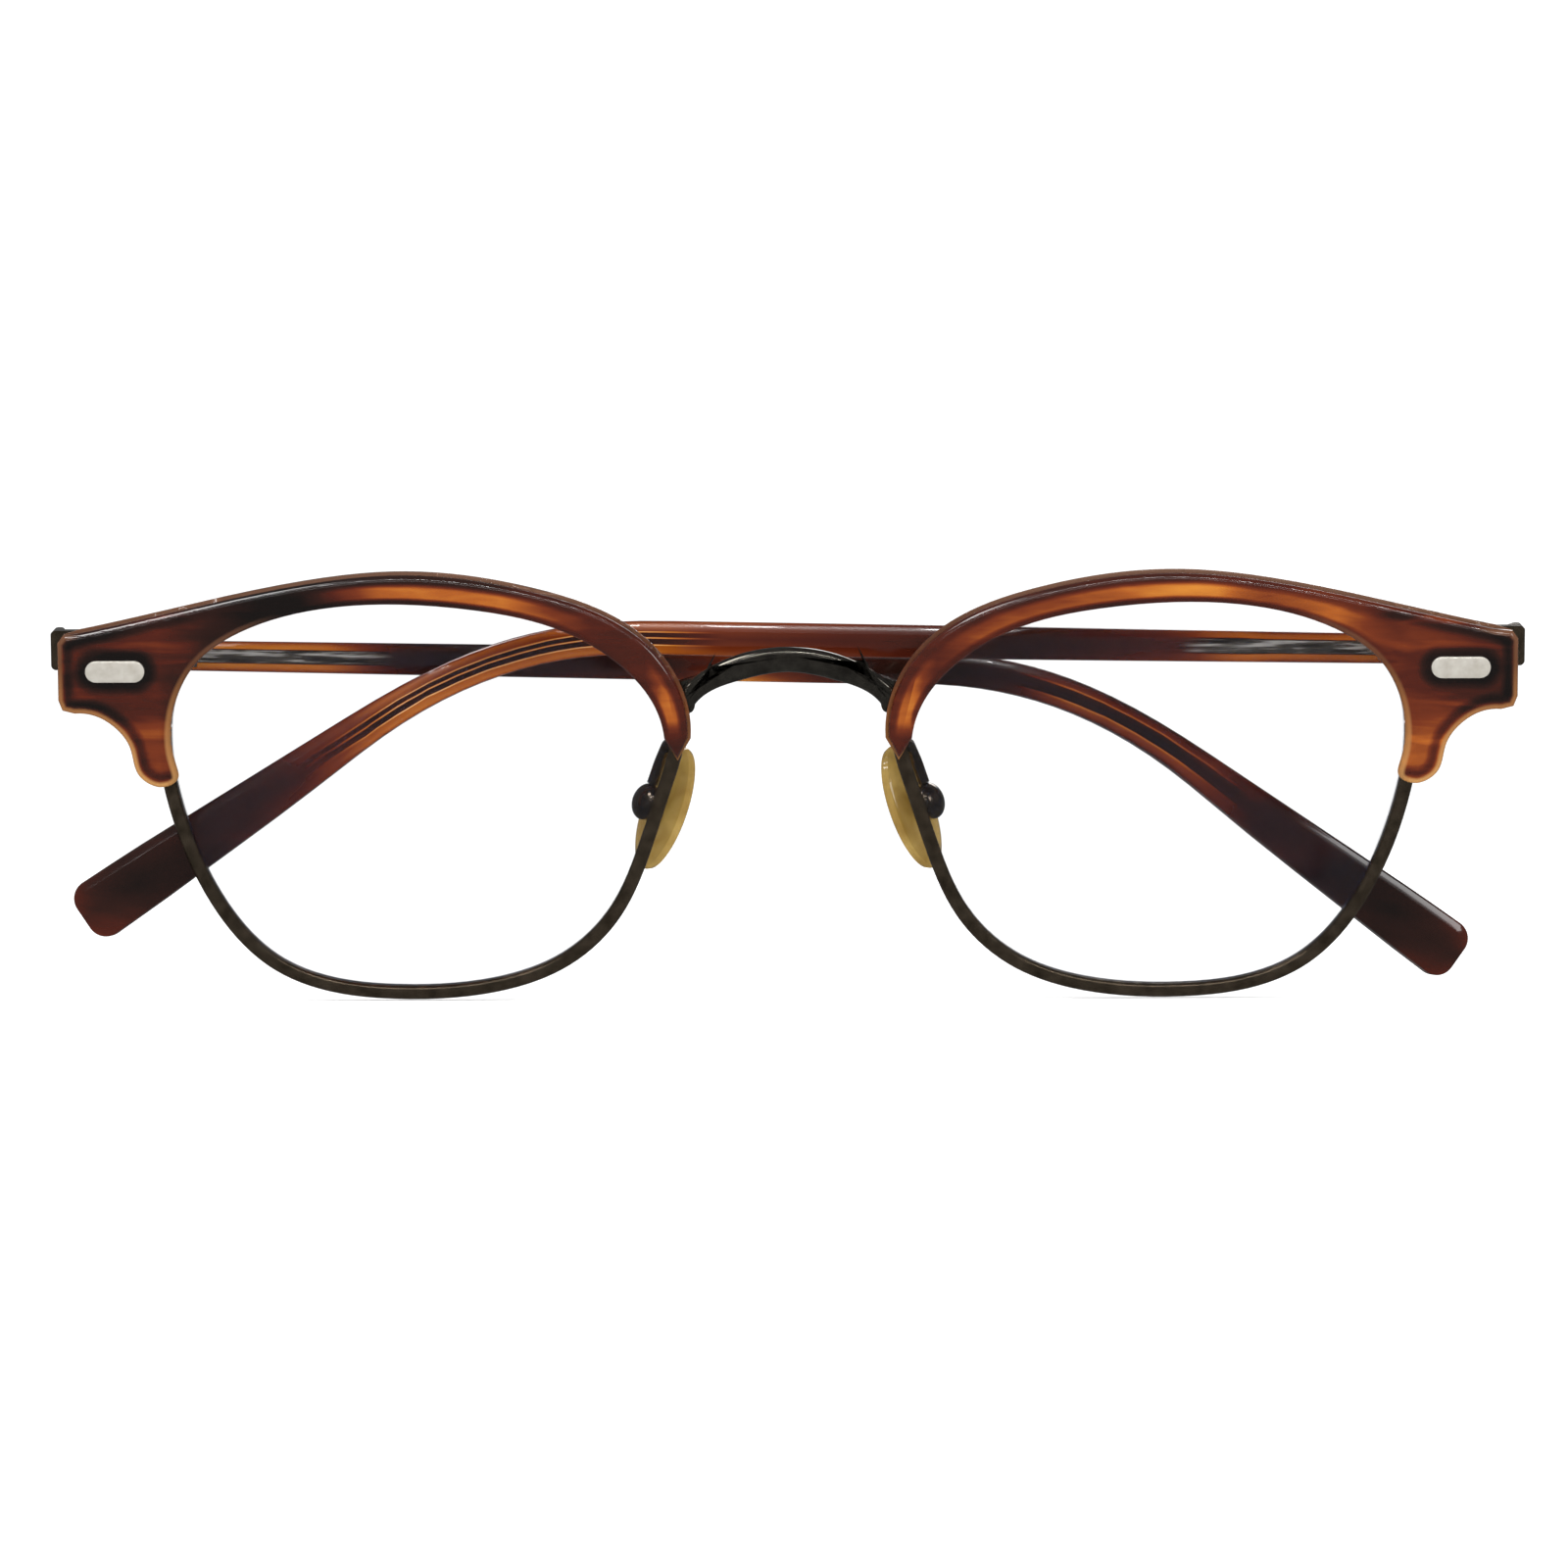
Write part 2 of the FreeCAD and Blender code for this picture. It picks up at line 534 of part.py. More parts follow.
def temple(word, side):
    """The acetate side arm, the wire in it, the hinge leaf on its inner face and its rivets."""
    place = temple_placement(side)
    face, thickness = size("temple_face"), size("temple_thickness")
    arm = slab(f"{word}_arm", sketch(f"{word}_temple_outline", temple_outline(side), "temple_face"),
               "sizes.temple_thickness")
    core = doc.addObject("Part::Feature", f"{word}_temple_core")
    core.Shape = temple_core_shape(side)
    core_seat = doc.addObject("Part::Feature", f"{word}_core_seat")
    core_seat.Shape = temple_core_shape(side)

    rivet_length = size("rivet_proud") + size("leaf_thickness") + thickness
    rivets = []
    for number, along in enumerate((size("first_rivet"), size("second_rivet")), start=1):
        start = (-side * along, face - size("leaf_thickness") - size("rivet_proud"), 0)
        rivets.append(rod(f"{word}_rivet_{number}", "sizes.rivet_radius", start, (0, 1, 0),
                          rivet_length))
    rivet_group = group(f"{word}_temple_rivets", *rivets)
    rivet_holes = group(f"{word}_rivet_holes", *rivets)
    finish(f"{word}_temple",
           cut(f"{word}_temple", arm, fuse(f"{word}_temple_seats", core_seat, *rivets)), place)
    finish(f"{word}_temple_core", core, place)

    leaf_start = min(-side * size("leaf_start"), -side * (size("leaf_start") + size("leaf_length")))
    leaf = box(f"{word}_leaf", (leaf_start, face - size("leaf_thickness"), -size("leaf_height") / 2),
               (size("leaf_length"), size("leaf_thickness"), size("leaf_height")))
    half_knuckle = size("knuckle_slot") - size("hinge_gap")
    knuckle = rod(f"{word}_temple_knuckle", "sizes.knuckle_radius", (0, 0, -half_knuckle),
                  (0, 0, 1), 2 * half_knuckle)
    web_end = size("leaf_start") + ROOT
    web = box(f"{word}_leaf_web", (min(0, -side * web_end), 0, -half_knuckle),
              (web_end, face, 2 * half_knuckle))
    bore = rod(f"{word}_temple_bore", "sizes.screw_radius + sizes.hinge_gap", (0, 0, -CLEAR),
               (0, 0, 1), 2 * CLEAR)
    hinge_cuts = fuse(f"{word}_leaf_cuts", bore, rivet_holes)
    finish(f"{word}_temple_hinge",
           cut(f"{word}_temple_hinge", fuse(f"{word}_leaf_blank", leaf, knuckle, web), hinge_cuts),
           place)
    finish(f"{word}_temple_rivets", rivet_group, place)


def bent_wire(points, bend):
    """Straight runs joined by tangent arcs of one radius."""
    edges, last = [], points[0]
    for before, corner, after in zip(points, points[1:], points[2:]):
        back, ahead = (before - corner).normalize(), (after - corner).normalize()
        half_turn = (math.pi - back.getAngle(ahead)) / 2
        reach = bend * math.tan(half_turn)
        first, final = corner + back * reach, corner + ahead * reach
        centre_way = (back + ahead).normalize()
        middle = corner + centre_way * (bend / math.cos(half_turn) - bend)
        edges.append(Part.LineSegment(last, first).toShape())
        edges.append(Part.Arc(first, middle, final).toShape())
        last = final
    edges.append(Part.LineSegment(last, points[-1]).toShape())
    return Part.Wire(edges)


def nose_pad(word, side):
    """A pad that rocks on the screw of its box, the box, and the arm from the eyewire."""
    place = pad_placement(side)
    half_thick, pivot = size("pad_thickness") / 2, size("pivot_height")
    outline = Part.Ellipse(Vector(), size("pad_length") / 2, size("pad_width") / 2)
    outline.rotate(Placement(Vector(), Rotation(UP, 90)))
    blank = slab(f"{word}_pad_blank", sketch(f"{word}_pad_outline", [outline], -half_thick),
                 "sizes.pad_thickness")
    pivot_y = half_thick + pivot
    half_tab = size("tab_width") / 2
    tab = rod(f"{word}_pad_tab", "sizes.tab_radius", (-half_tab, pivot_y, 0), (1, 0, 0), 2 * half_tab)
    stem = box(f"{word}_pad_stem", (-half_tab, 0, -size("tab_radius")),
               (2 * half_tab, pivot_y, 2 * size("tab_radius")))
    hole = rod(f"{word}_pad_hole", "sizes.pad_screw_radius + sizes.hinge_gap",
               (-CLEAR, pivot_y, 0), (1, 0, 0), 2 * CLEAR)
    finish(f"{word}_nose_pad",
           cut(f"{word}_nose_pad", fuse(f"{word}_pad_solid", blank, tab, stem), hole), place)

    box_start, box_height = half_thick + size("box_gap"), size("box_height")
    cup = rod(f"{word}_cup", "sizes.box_radius", (0, box_start, 0), (0, 1, 0), box_height)
    half_slot, slot_reach = half_tab + size("tab_gap"), size("tab_radius") + 3 * size("tab_gap")
    slot = box(f"{word}_cup_slot", (-half_slot, 0, -slot_reach),
               (2 * half_slot, box_start + box_height - size("slot_floor"), 2 * slot_reach))
    screw_hole = rod(f"{word}_cup_hole", "sizes.pad_screw_radius", (-CLEAR, pivot_y, 0), (1, 0, 0),
                     2 * CLEAR)
    finish(f"{word}_pad_box",
           cut(f"{word}_pad_box", cup, fuse(f"{word}_cup_cuts", slot, screw_hole)), place)
    screw_length = size("pad_screw_length")
    finish(f"{word}_pad_screw",
           rod(f"{word}_pad_screw", "sizes.pad_screw_radius", (-screw_length / 2, pivot_y, 0),
               (1, 0, 0), screw_length, place))

    box_middle = place.multVec(Vector(0, box_start + box_height / 2, 0))
    above_box = place.Rotation.multVec(UP) * size("arm_drop")
    behind_rim = size("brow_plate") + size("rim_depth")
    rim_spot = FRONT.multVec(
        Vector(side * size("arm_root_reach"), behind_rim, size("arm_root_level")))
    behind = FRONT.Rotation.multVec(BACKWARDS)
    points = [rim_spot, rim_spot + behind * size("arm_run_back"), box_middle + above_box,
              box_middle]
    path = bent_wire(points, size("arm_bend"))
    start_way = (points[1] - points[0]).normalize()
    section = Part.Wire(Part.Circle(points[0], start_way, size("arm_radius")).toShape())
    arm = doc.addObject("Part::Feature", f"{word}_pad_arm_wire")
    arm.Shape = path.makePipeShell([section], True, False)
    ahead = box(f"{word}_ahead_of_arm",
                (side * size("arm_root_reach") - CLEAR, 0, size("arm_root_level") - CLEAR),
                (2 * CLEAR, behind_rim, 2 * CLEAR), FRONT)
    inside = rod(f"{word}_inside_box", "sizes.box_radius", (0, box_start, 0), (0, 1, 0),
                 box_height, place)
    finish(f"{word}_pad_arm",
           cut(f"{word}_pad_arm", arm, fuse(f"{word}_arm_cuts", ahead, inside)))


def rim_closing(word, side, rim_disc):
    """Two small barrels on the eyewire at its split, and the screw that draws them together."""
    level, gap = size("barrel_level"), size("split_gap")
    half = size("barrel_height") / 2
    low_x = min(side * size("barrel_reach"), side * (size("barrel_reach") + size("barrel_width")))
    root = size("barrel_root")
    low_x -= root if side > 0 else 0
    start, depth = size("brow_plate"), size("rim_depth")
    blocks = [box(f"{word}_barrel_{number}", (low_x, start, low),
                  (size("barrel_width") + root, depth, half - gap / 2))
              for number, low in enumerate((level - half, level + gap / 2), start=1)]
    across = side * (size("barrel_reach") + size("barrel_width") / 2 + size("lens_gap"))
    screw_y = start + depth / 2
    shank = rod(f"{word}_rim_shank", "sizes.rim_screw_radius", (across, screw_y, level - half),
                (0, 0, 1), 2 * half)
    head = rod(f"{word}_rim_head", "sizes.rim_screw_head_radius", (across, screw_y, level + half),
               (0, 0, 1), size("rim_screw_head_height"))
    screw = fuse(f"{word}_rim_screw", shank, head)
    tools = fuse(f"{word}_barrel_cuts", rim_disc,
                 rod(f"{word}_barrel_bore", "sizes.rim_screw_radius",
                     (across, screw_y, level - CLEAR), (0, 0, 1), 2 * CLEAR))
    pieces = [cut(f"{word}_rim_barrel_{number}", block, tools)
              for number, block in enumerate(blocks, start=1)]
    finish(f"{word}_rim_barrels", group(f"{word}_rim_barrels", *pieces), FRONT)
    finish(f"{word}_rim_screw", screw, FRONT)


def brow_clip(word, side, screws):
    """A small tab behind the eyewire and the brow's ledge, by the bridge."""
    back = size("brow_plate") + size("rim_depth")
    across, height = CLIP_SCREW
    width = size("clip_width")
    tab = box(f"{word}_clip_blank", (side * across - width / 2, back, height - size("clip_drop")),
              (width, size("clip_thickness"), size("clip_height")))
    seats = unplaced(screws, f"{word}_clip_hole")
    finish(f"{word}_brow_clip", cut(f"{word}_brow_clip", tab, seats), FRONT)


def bridge(rim_discs):
    """An arched bar between the eyewires, hooked down at both ends."""
    top = [(-across, height) for across, height in reversed(BRIDGE_TOP[1:])] + BRIDGE_TOP
    under = [(-across, height) for across, height in reversed(BRIDGE_UNDER[1:])] + BRIDGE_UNDER
    outline = [curve_through(top), line_between(top[-1], under[-1]), curve_through(under),
               line_between(under[0], top[0])]
    arch = slab("bridge_arch", sketch("bridge_outline", outline, "bridge_start"),
                "sizes.bridge_depth")
    finish("bridge", cut("bridge", arch, fuse("both_rims", *rim_discs)), FRONT)


discs = []
for word, side in SIDES.items():
    disc = eyewire_and_lens(word, side)
    discs.append(disc)
    plate = trim_plate(word, side)
    screws = brow_screws(word, side)
    brow(word, side, disc, plate, screws)
    end_piece(word, side, disc, plate, screws)
    front_hinge(word, side)
    hinge_screw(word, side)
    temple(word, side)
    nose_pad(word, side)
    rim_closing(word, side, disc)
    brow_clip(word, side, screws)
bridge(discs)

doc.recompute()
failed = [thing.Name for thing in doc.Objects
          if "Invalid" in thing.State or "Error" in thing.State]
if failed:
    raise RuntimeError(f"objects that failed: {failed}")
for piece in made:
    if piece.Shape.isNull() or not piece.Shape.isValid() or not piece.Shape.Solids:
        raise RuntimeError(f"{piece.Label} has no valid shape")

os.makedirs("parts", exist_ok=True)
for piece in made:
    piece.Shape.exportStep(f"parts/{piece.Label}.step")
    extent = piece.Shape.BoundBox
    print(f"{piece.Label}: {len(piece.Shape.Solids)} solids, {piece.Shape.Volume:.2f} mm3, "
          f"x {extent.XMin:.2f} to {extent.XMax:.2f}, y {extent.YMin:.2f} to {extent.YMax:.2f}, "
          f"z {extent.ZMin:.2f} to {extent.ZMax:.2f}")
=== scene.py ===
import json
import math
import bmesh
import bpy
from mathutils import Matrix, Vector
from mathutils.kdtree import KDTree


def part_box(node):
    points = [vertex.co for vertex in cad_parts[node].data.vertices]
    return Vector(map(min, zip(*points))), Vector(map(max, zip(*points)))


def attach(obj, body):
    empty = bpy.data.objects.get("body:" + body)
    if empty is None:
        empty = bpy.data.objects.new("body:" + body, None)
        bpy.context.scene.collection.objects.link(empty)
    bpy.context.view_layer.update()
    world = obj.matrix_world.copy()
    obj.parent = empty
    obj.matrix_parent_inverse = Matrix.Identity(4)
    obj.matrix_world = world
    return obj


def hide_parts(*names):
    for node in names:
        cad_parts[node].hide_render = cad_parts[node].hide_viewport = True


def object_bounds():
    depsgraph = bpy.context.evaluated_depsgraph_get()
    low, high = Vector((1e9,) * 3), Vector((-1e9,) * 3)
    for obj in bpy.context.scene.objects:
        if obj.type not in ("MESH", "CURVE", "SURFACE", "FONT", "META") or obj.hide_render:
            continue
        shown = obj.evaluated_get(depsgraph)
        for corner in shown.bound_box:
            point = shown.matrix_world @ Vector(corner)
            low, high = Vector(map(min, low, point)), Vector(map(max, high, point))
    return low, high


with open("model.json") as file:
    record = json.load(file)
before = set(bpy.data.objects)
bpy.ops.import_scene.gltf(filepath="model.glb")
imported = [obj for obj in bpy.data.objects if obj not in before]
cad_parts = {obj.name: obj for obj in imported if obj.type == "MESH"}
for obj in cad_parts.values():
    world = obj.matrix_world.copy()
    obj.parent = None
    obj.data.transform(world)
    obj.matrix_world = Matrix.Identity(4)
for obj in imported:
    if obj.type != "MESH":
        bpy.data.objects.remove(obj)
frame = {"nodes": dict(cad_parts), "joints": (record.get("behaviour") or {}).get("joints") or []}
cad_low, cad_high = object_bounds()


# Camera: a long lens level with the middle of the lenses, square on to the face of the glasses,
# which fill nearly the whole width of the picture.
camera_data = bpy.data.cameras.new("camera")
camera_data.sensor_width = 36
camera_data.lens = 140.4
camera_data.clip_start = 0.01
camera = bpy.data.objects.new("camera", camera_data)
camera.location = (-0.00042, -0.612, 0.02135)
camera_roll = math.radians(0.19)
camera.rotation_euler = (math.radians(90), camera_roll, 0)
bpy.context.scene.collection.objects.link(camera)
bpy.context.scene.camera = camera
bpy.context.scene.view_settings.view_transform = "Standard"


# Floor and lamps: a round sheet of matt white paper under a white sky, with a large soft lamp, a
# fill lamp and a row of small lamps whose reflections run along the polished edges.
def new_finish(name):
    """A new material with its node tree and its main shader."""
    finish = bpy.data.materials.new(name)
    finish.use_nodes = True
    tree = finish.node_tree
    return finish, tree, tree.nodes["Principled BSDF"]


def feed(tree, socket, value):
    """Links a socket to another, or sets it to a plain value."""
    if isinstance(value, bpy.types.NodeSocket):
        tree.links.new(value, socket)
    else:
        socket.default_value = value


def calc(tree, operation, *values, clamp=False):
    """One arithmetic step between numbers or sockets."""
    step = tree.nodes.new("ShaderNodeMath")
    step.operation = operation
    step.use_clamp = clamp
    for socket, value in zip(step.inputs, values):
        feed(tree, socket, value)
    return step.outputs[0]


def shades(tree, value, stops):
    """A colour ramp through stops of (position, colour)."""
    ramp = tree.nodes.new("ShaderNodeValToRGB")
    elements = ramp.color_ramp.elements
    for _ in stops[2:]:
        elements.new(1.0)
    for element, (position, colour) in zip(elements, stops):
        element.position = position
        element.color = (*colour, 1)
    feed(tree, ramp.inputs[0], value)
    return ramp.outputs[0]


def place_mm(tree, scale=(1, 1, 1)):
    """The place on the object in millimetres, stretched for a pattern."""
    spot = tree.nodes.new("ShaderNodeTexCoord")
    mapping = tree.nodes.new("ShaderNodeMapping")
    mapping.inputs["Scale"].default_value = [1000 * share for share in scale]
    tree.links.new(spot.outputs["Object"], mapping.inputs["Vector"])
    return mapping.outputs[0]


def clouds(tree, vector, scale, detail=3.0, distortion=0.0):
    """Soft noise from 0 to 1 over a place in millimetres."""
    noise = tree.nodes.new("ShaderNodeTexNoise")
    noise.inputs["Scale"].default_value = scale
    noise.inputs["Detail"].default_value = detail
    noise.inputs["Distortion"].default_value = distortion
    tree.links.new(vector, noise.inputs["Vector"])
    return noise.outputs["Fac"]


def into_object(name, work, finish):
    """Finished mesh work as an object with one finish."""
    mesh = bpy.data.meshes.new(name)
    work.to_mesh(mesh)
    work.free()
    mesh.materials.append(finish)
    thing = bpy.data.objects.new(name, mesh)
    bpy.context.scene.collection.objects.link(thing)
    return thing


paper, tree, shader = new_finish("white_paper")
grain = clouds(tree, place_mm(tree), 2.0)
feed(tree, shader.inputs["Base Color"], shades(tree, grain, [(0, (0.94,) * 3), (1, (0.96,) * 3)]))
shader.inputs["Roughness"].default_value = 1.0
shader.inputs["Specular IOR Level"].default_value = 0.0
sheet = bmesh.new()
bmesh.ops.create_circle(sheet, cap_ends=True, segments=96, radius=3.0)
floor = into_object("paper_floor", sheet, paper)
floor.visible_glossy = False

sky = bpy.data.worlds.new("white_sky")
sky.use_nodes = True
bpy.context.scene.world = sky
tree = sky.node_tree
rays = tree.nodes.new("ShaderNodeLightPath")
sky_light, sky_in_reflections = 1.16, 0.14
strength = calc(tree, "MULTIPLY_ADD", rays.outputs["Is Glossy Ray"],
                sky_in_reflections - sky_light, sky_light)
feed(tree, tree.nodes["Background"].inputs["Color"], (1, 1, 1, 1))
feed(tree, tree.nodes["Background"].inputs["Strength"], strength)


def lamp(name, place, width, height, power):
    """A soft rectangular lamp that faces the middle of the glasses."""
    light = bpy.data.lights.new(name, "AREA")
    light.shape = "RECTANGLE"
    light.size, light.size_y, light.energy = width, height, power
    holder = bpy.data.objects.new(name, light)
    holder.location = place
    aim = (cad_low + cad_high) / 2 - Vector(place)
    holder.rotation_euler = aim.to_track_quat("-Z", "Y").to_euler()
    bpy.context.scene.collection.objects.link(holder)


lamp("key_lamp", (-0.45, -0.55, 0.95), 0.30, 0.30, 3.5)
lamp("fill_lamp", (0.8, -0.7, 0.5), 0.3, 0.3, 1.5)
lamp("back_lamp", (0.3, 0.9, 0.7), 0.5, 0.5, 4)
lamp("high_strip", (0.0, -0.95, 0.42), 0.9, 0.012, 0.35)
for number in range(13):
    lamp(f"row_lamp_{number + 1}", (-0.33 + 0.055 * number, -0.75, 0.60), 0.018, 0.022, 0.10)


# Eyewires: a ring of nickel alloy wire round each lens, rolled to a soft section, split beside
# its closing barrels and finished in dark gunmetal.
MM = 0.001
SIDES = {"right": -1, "left": 1}
tilt = math.radians(8)
face_way = Vector((0, -math.cos(tilt), -math.sin(tilt)))
face_up = Vector((0, -math.sin(tilt), math.cos(tilt)))


def joined_copy(node):
    """A node's shape with its loose triangles joined and its flat faces made whole."""
    work = bmesh.new()
    work.from_mesh(frame["nodes"][node].data)
    bmesh.ops.remove_doubles(work, verts=work.verts, dist=0.001 * MM)
    bmesh.ops.dissolve_limit(work, angle_limit=math.radians(0.5), verts=work.verts,
                             edges=work.edges)
    return work


def outline_wire(node, way):
    """The outer outline of a node's flat side that faces a way, as a closed run of edges."""
    work = joined_copy(node)
    flat = [face for face in work.faces if face.normal.dot(way) > 0.9995]
    reach = max(face.calc_center_median().dot(way) for face in flat)
    keep = {face for face in flat if face.calc_center_median().dot(way) > reach - 0.01 * MM}
    bmesh.ops.delete(work, geom=[face for face in work.faces if face not in keep],
                     context="FACES")
    loops, unseen = [], {edge for edge in work.edges if edge.is_boundary}
    while unseen:
        loop, front = [], [unseen.pop()]
        while front:
            edge = front.pop()
            loop.append(edge)
            beside = {other for end in edge.verts for other in end.link_edges} & unseen
            unseen -= beside
            front.extend(beside)
        loops.append(loop)
    outer = max(loops, key=lambda loop: sum(edge.calc_length() for edge in loop))
    bmesh.ops.delete(work, geom=list(work.faces), context="FACES_ONLY")
    bmesh.ops.delete(work, geom=[edge for edge in work.edges if edge not in outer],
                     context="EDGES")
    return work


def filled(work, way):
    """Fills a closed run of edges with one face that faces a way."""
    face = bmesh.ops.contextual_create(work, geom=list(work.edges))["faces"][0]
    face.normal_update()
    if face.normal.dot(way) < 0:
        face.normal_flip()
    return face


def raised(work, face, offset):
    """Extrudes a face by an offset and gives back the face on top."""
    skin = bmesh.ops.extrude_face_region(work, geom=[face])["geom"]
    top = next(part for part in skin if isinstance(part, bmesh.types.BMFace))
    bmesh.ops.translate(work, verts=top.verts, vec=offset)
    work.normal_update()
    return top


def stepped(work, face, steps):
    """Rounds a face over by steps of (inset, rise) in millimetres."""
    for inset, rise_by in steps:
        bmesh.ops.inset_region(work, faces=[face], thickness=inset * MM, depth=rise_by * MM,
                               use_even_offset=True)


def thickened(work, face, way, depth, wall, steps):
    """Turns a flat outline into a bar of a depth, with a wall between two rounded sides."""
    bmesh.ops.translate(work, verts=work.verts, vec=-way * (depth + wall) / 2 * MM)
    front = raised(work, face, way * wall * MM)
    if face.normal.dot(way) > 0:
        face.normal_flip()
    for side_face in (front, face):
        stepped(work, side_face, steps)
    return front, face


def smooth_shading(work, angle=32):
    """Shades every face smoothly, and keeps edges that turn by more than an angle crisp."""
    for face in work.faces:
        face.smooth = True
    for edge in work.edges:
        edge.smooth = not edge.is_manifold or edge.calc_face_angle() < math.radians(angle)


def fit(name, work, finish, body, slot, *nodes):
    """Adds a finished piece that rides on a body and stands for some nodes."""
    smooth_shading(work)
    thing = into_object(name, work, finish)
    even = thing.modifiers.new("even_shading", "WEIGHTED_NORMAL")
    even.keep_sharp = True
    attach(thing, body)
    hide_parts(*nodes)
    return thing


def levels(tree, value, stops):
    """A ramp of plain numbers through stops of (position, level)."""
    return shades(tree, value, [(position, (level,) * 3) for position, level in stops])


def metal(name, dark, light, roughness, grain_scale, metallic=1.0):
    """A polished metal whose colour and gloss wander a little."""
    finish, tree, shader = new_finish(name)
    spots = clouds(tree, place_mm(tree), grain_scale, detail=5.0)
    feed(tree, shader.inputs["Base Color"], shades(tree, spots, [(0.3, dark), (0.7, light)]))
    shader.inputs["Metallic"].default_value = metallic
    low, high = roughness
    feed(tree, shader.inputs["Roughness"], levels(tree, spots, [(0.25, low), (0.75, high)]))
    ruffle = tree.nodes.new("ShaderNodeBump")
    ruffle.inputs["Strength"].default_value = 0.15
    ruffle.inputs["Distance"].default_value = 0.02 * MM
    tree.links.new(clouds(tree, place_mm(tree), 9.0, detail=2.0), ruffle.inputs["Height"])
    tree.links.new(ruffle.outputs[0], shader.inputs["Normal"])
    return finish


gunmetal = metal("gunmetal", (0.10, 0.077, 0.052), (0.22, 0.17, 0.12), (0.12, 0.20), 0.8, 0.96)
wire_width, wire_depth, wire_wall, split_gap = 1.45, 1.8, 0.5, 0.3
split_reach = 5 * MM
wire_steps = [(0.08, 0.25), (0.18, 0.24), (0.26, 0.14), (0.26, 0.05), (0.24, -0.02), (0.22, -0.10),
              (0.15, -0.24)]
for word in SIDES:
    wire = outline_wire(f"{word}_eyewire", face_way)
    opening = outline_wire(f"{word}_lens", face_way)
    bmesh.ops.subdivide_edges(opening, edges=opening.edges, cuts=6)
    bmesh.ops.delete(wire, geom=[end for end in wire.verts
                                 if min((end.co - other.co).length for other in opening.verts)
                                 < wire_width / 2 * MM], context="VERTS")
    opening.free()
    bmesh.ops.contextual_create(wire, geom=[end for end in wire.verts if len(end.link_edges) == 1])
    front, rear = thickened(wire, filled(wire, face_way), face_way, wire_depth, wire_wall,
                            wire_steps)
    inner_edges = [*front.edges, *rear.edges]
    bmesh.ops.delete(wire, geom=[front, rear], context="FACES_ONLY")
    bmesh.ops.bridge_loops(wire, edges=inner_edges)
    low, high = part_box(f"{word}_rim_barrels")
    split_middle = (low + high) / 2
    for way in (face_up, -face_up):
        bmesh.ops.bisect_plane(wire, geom=[*wire.verts, *wire.edges, *wire.faces],
                               plane_co=split_middle + way * split_gap / 2 * MM, plane_no=way,
                               dist=0.001 * MM)

    def in_split(face):
        """Whether a face lies in the gap beside the barrels."""
        off = face.calc_center_median() - split_middle
        return abs(off.x) < split_reach and abs(off.dot(face_up)) < split_gap / 2 * MM

    bmesh.ops.delete(wire, geom=[face for face in wire.faces if in_split(face)], context="FACES")
    bmesh.ops.holes_fill(wire, edges=[edge for edge in wire.edges if edge.is_boundary])
    bmesh.ops.recalc_face_normals(wire, faces=wire.faces)
    fit(f"{word}_rim_wire", wire, gunmetal, "front", "gunmetal", f"{word}_eyewire")


# Lenses: clear demonstration lenses of moulded plastic, slightly domed, sprung into the
# eyewires' grooves, with a faint blue anti-reflection coat.
def sliced(work, way, start, end, step, beyond=-1.0):
    """Cuts the work by planes across a way, a step apart, beyond a distance from the middle."""
    count = int((end - start) / step)
    for number in range(1, count + 1):
        reached = [face for face in work.faces if abs(face.calc_center_median().x) > beyond]
        corners = {part for face in reached for part in [*face.verts, *face.edges]}
        bmesh.ops.bisect_plane(work, geom=[*corners, *reached],
                               plane_co=way * (start + number * step), plane_no=way,
                               dist=0.001 * MM)


lens_glass, tree, shader = new_finish("lens_glass")
shader.inputs["Base Color"].default_value = (0.02, 0.03, 0.06, 1)
shader.inputs["Roughness"].default_value = 0.02
shader.inputs["IOR"].default_value = 1.5
gaze = tree.nodes.new("ShaderNodeLayerWeight")
gaze.inputs["Blend"].default_value = 0.5
haze = clouds(tree, place_mm(tree), 0.05)
sheen = calc(tree, "MULTIPLY_ADD", haze, 0.02, 0.03)
grazing = calc(tree, "POWER", gaze.outputs["Facing"], 4.0)
feed(tree, shader.inputs["Alpha"], calc(tree, "MULTIPLY_ADD", grazing, 0.6, sheen))

lens_dome, lens_thickness, lens_step = 0.9 * MM, 1.5 * MM, 2.5 * MM
for word, side in SIDES.items():
    plate = outline_wire(f"{word}_lens", face_way)
    filled(plate, face_way)
    low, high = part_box(f"{word}_lens")
    sliced(plate, Vector((1, 0, 0)), low.x, high.x, lens_step)
    sliced(plate, Vector((0, 0, 1)), low.z, high.z, lens_step)
    centre = (low + high) / 2
    rim_reach = sorted((math.atan2(spot.co.z - centre.z, spot.co.x - centre.x),
                        math.hypot(spot.co.x - centre.x, spot.co.z - centre.z))
                       for spot in plate.verts if spot.is_boundary)

    def reach_at(angle):
        """How far the lens edge is from its middle at an angle."""
        nearest = min(rim_reach, key=lambda pair: abs(pair[0] - angle))
        return nearest[1]

    for spot in plate.verts:
        across, up = spot.co.x - centre.x, spot.co.z - centre.z
        share = min(1, math.hypot(across, up) / reach_at(math.atan2(up, across)))
        spot.co += face_way * lens_dome * (1 - share ** 2)
    plate.normal_update()
    skin = bmesh.ops.extrude_face_region(plate, geom=list(plate.faces))["geom"]
    back = [part for part in skin if isinstance(part, bmesh.types.BMVert)]
    bmesh.ops.translate(plate, verts=back, vec=-face_way * lens_thickness)
    bmesh.ops.recalc_face_normals(plate, faces=plate.faces)
    fit(f"{word}_domed_lens", plate, lens_glass, "front", "lens_glass", f"{word}_lens")


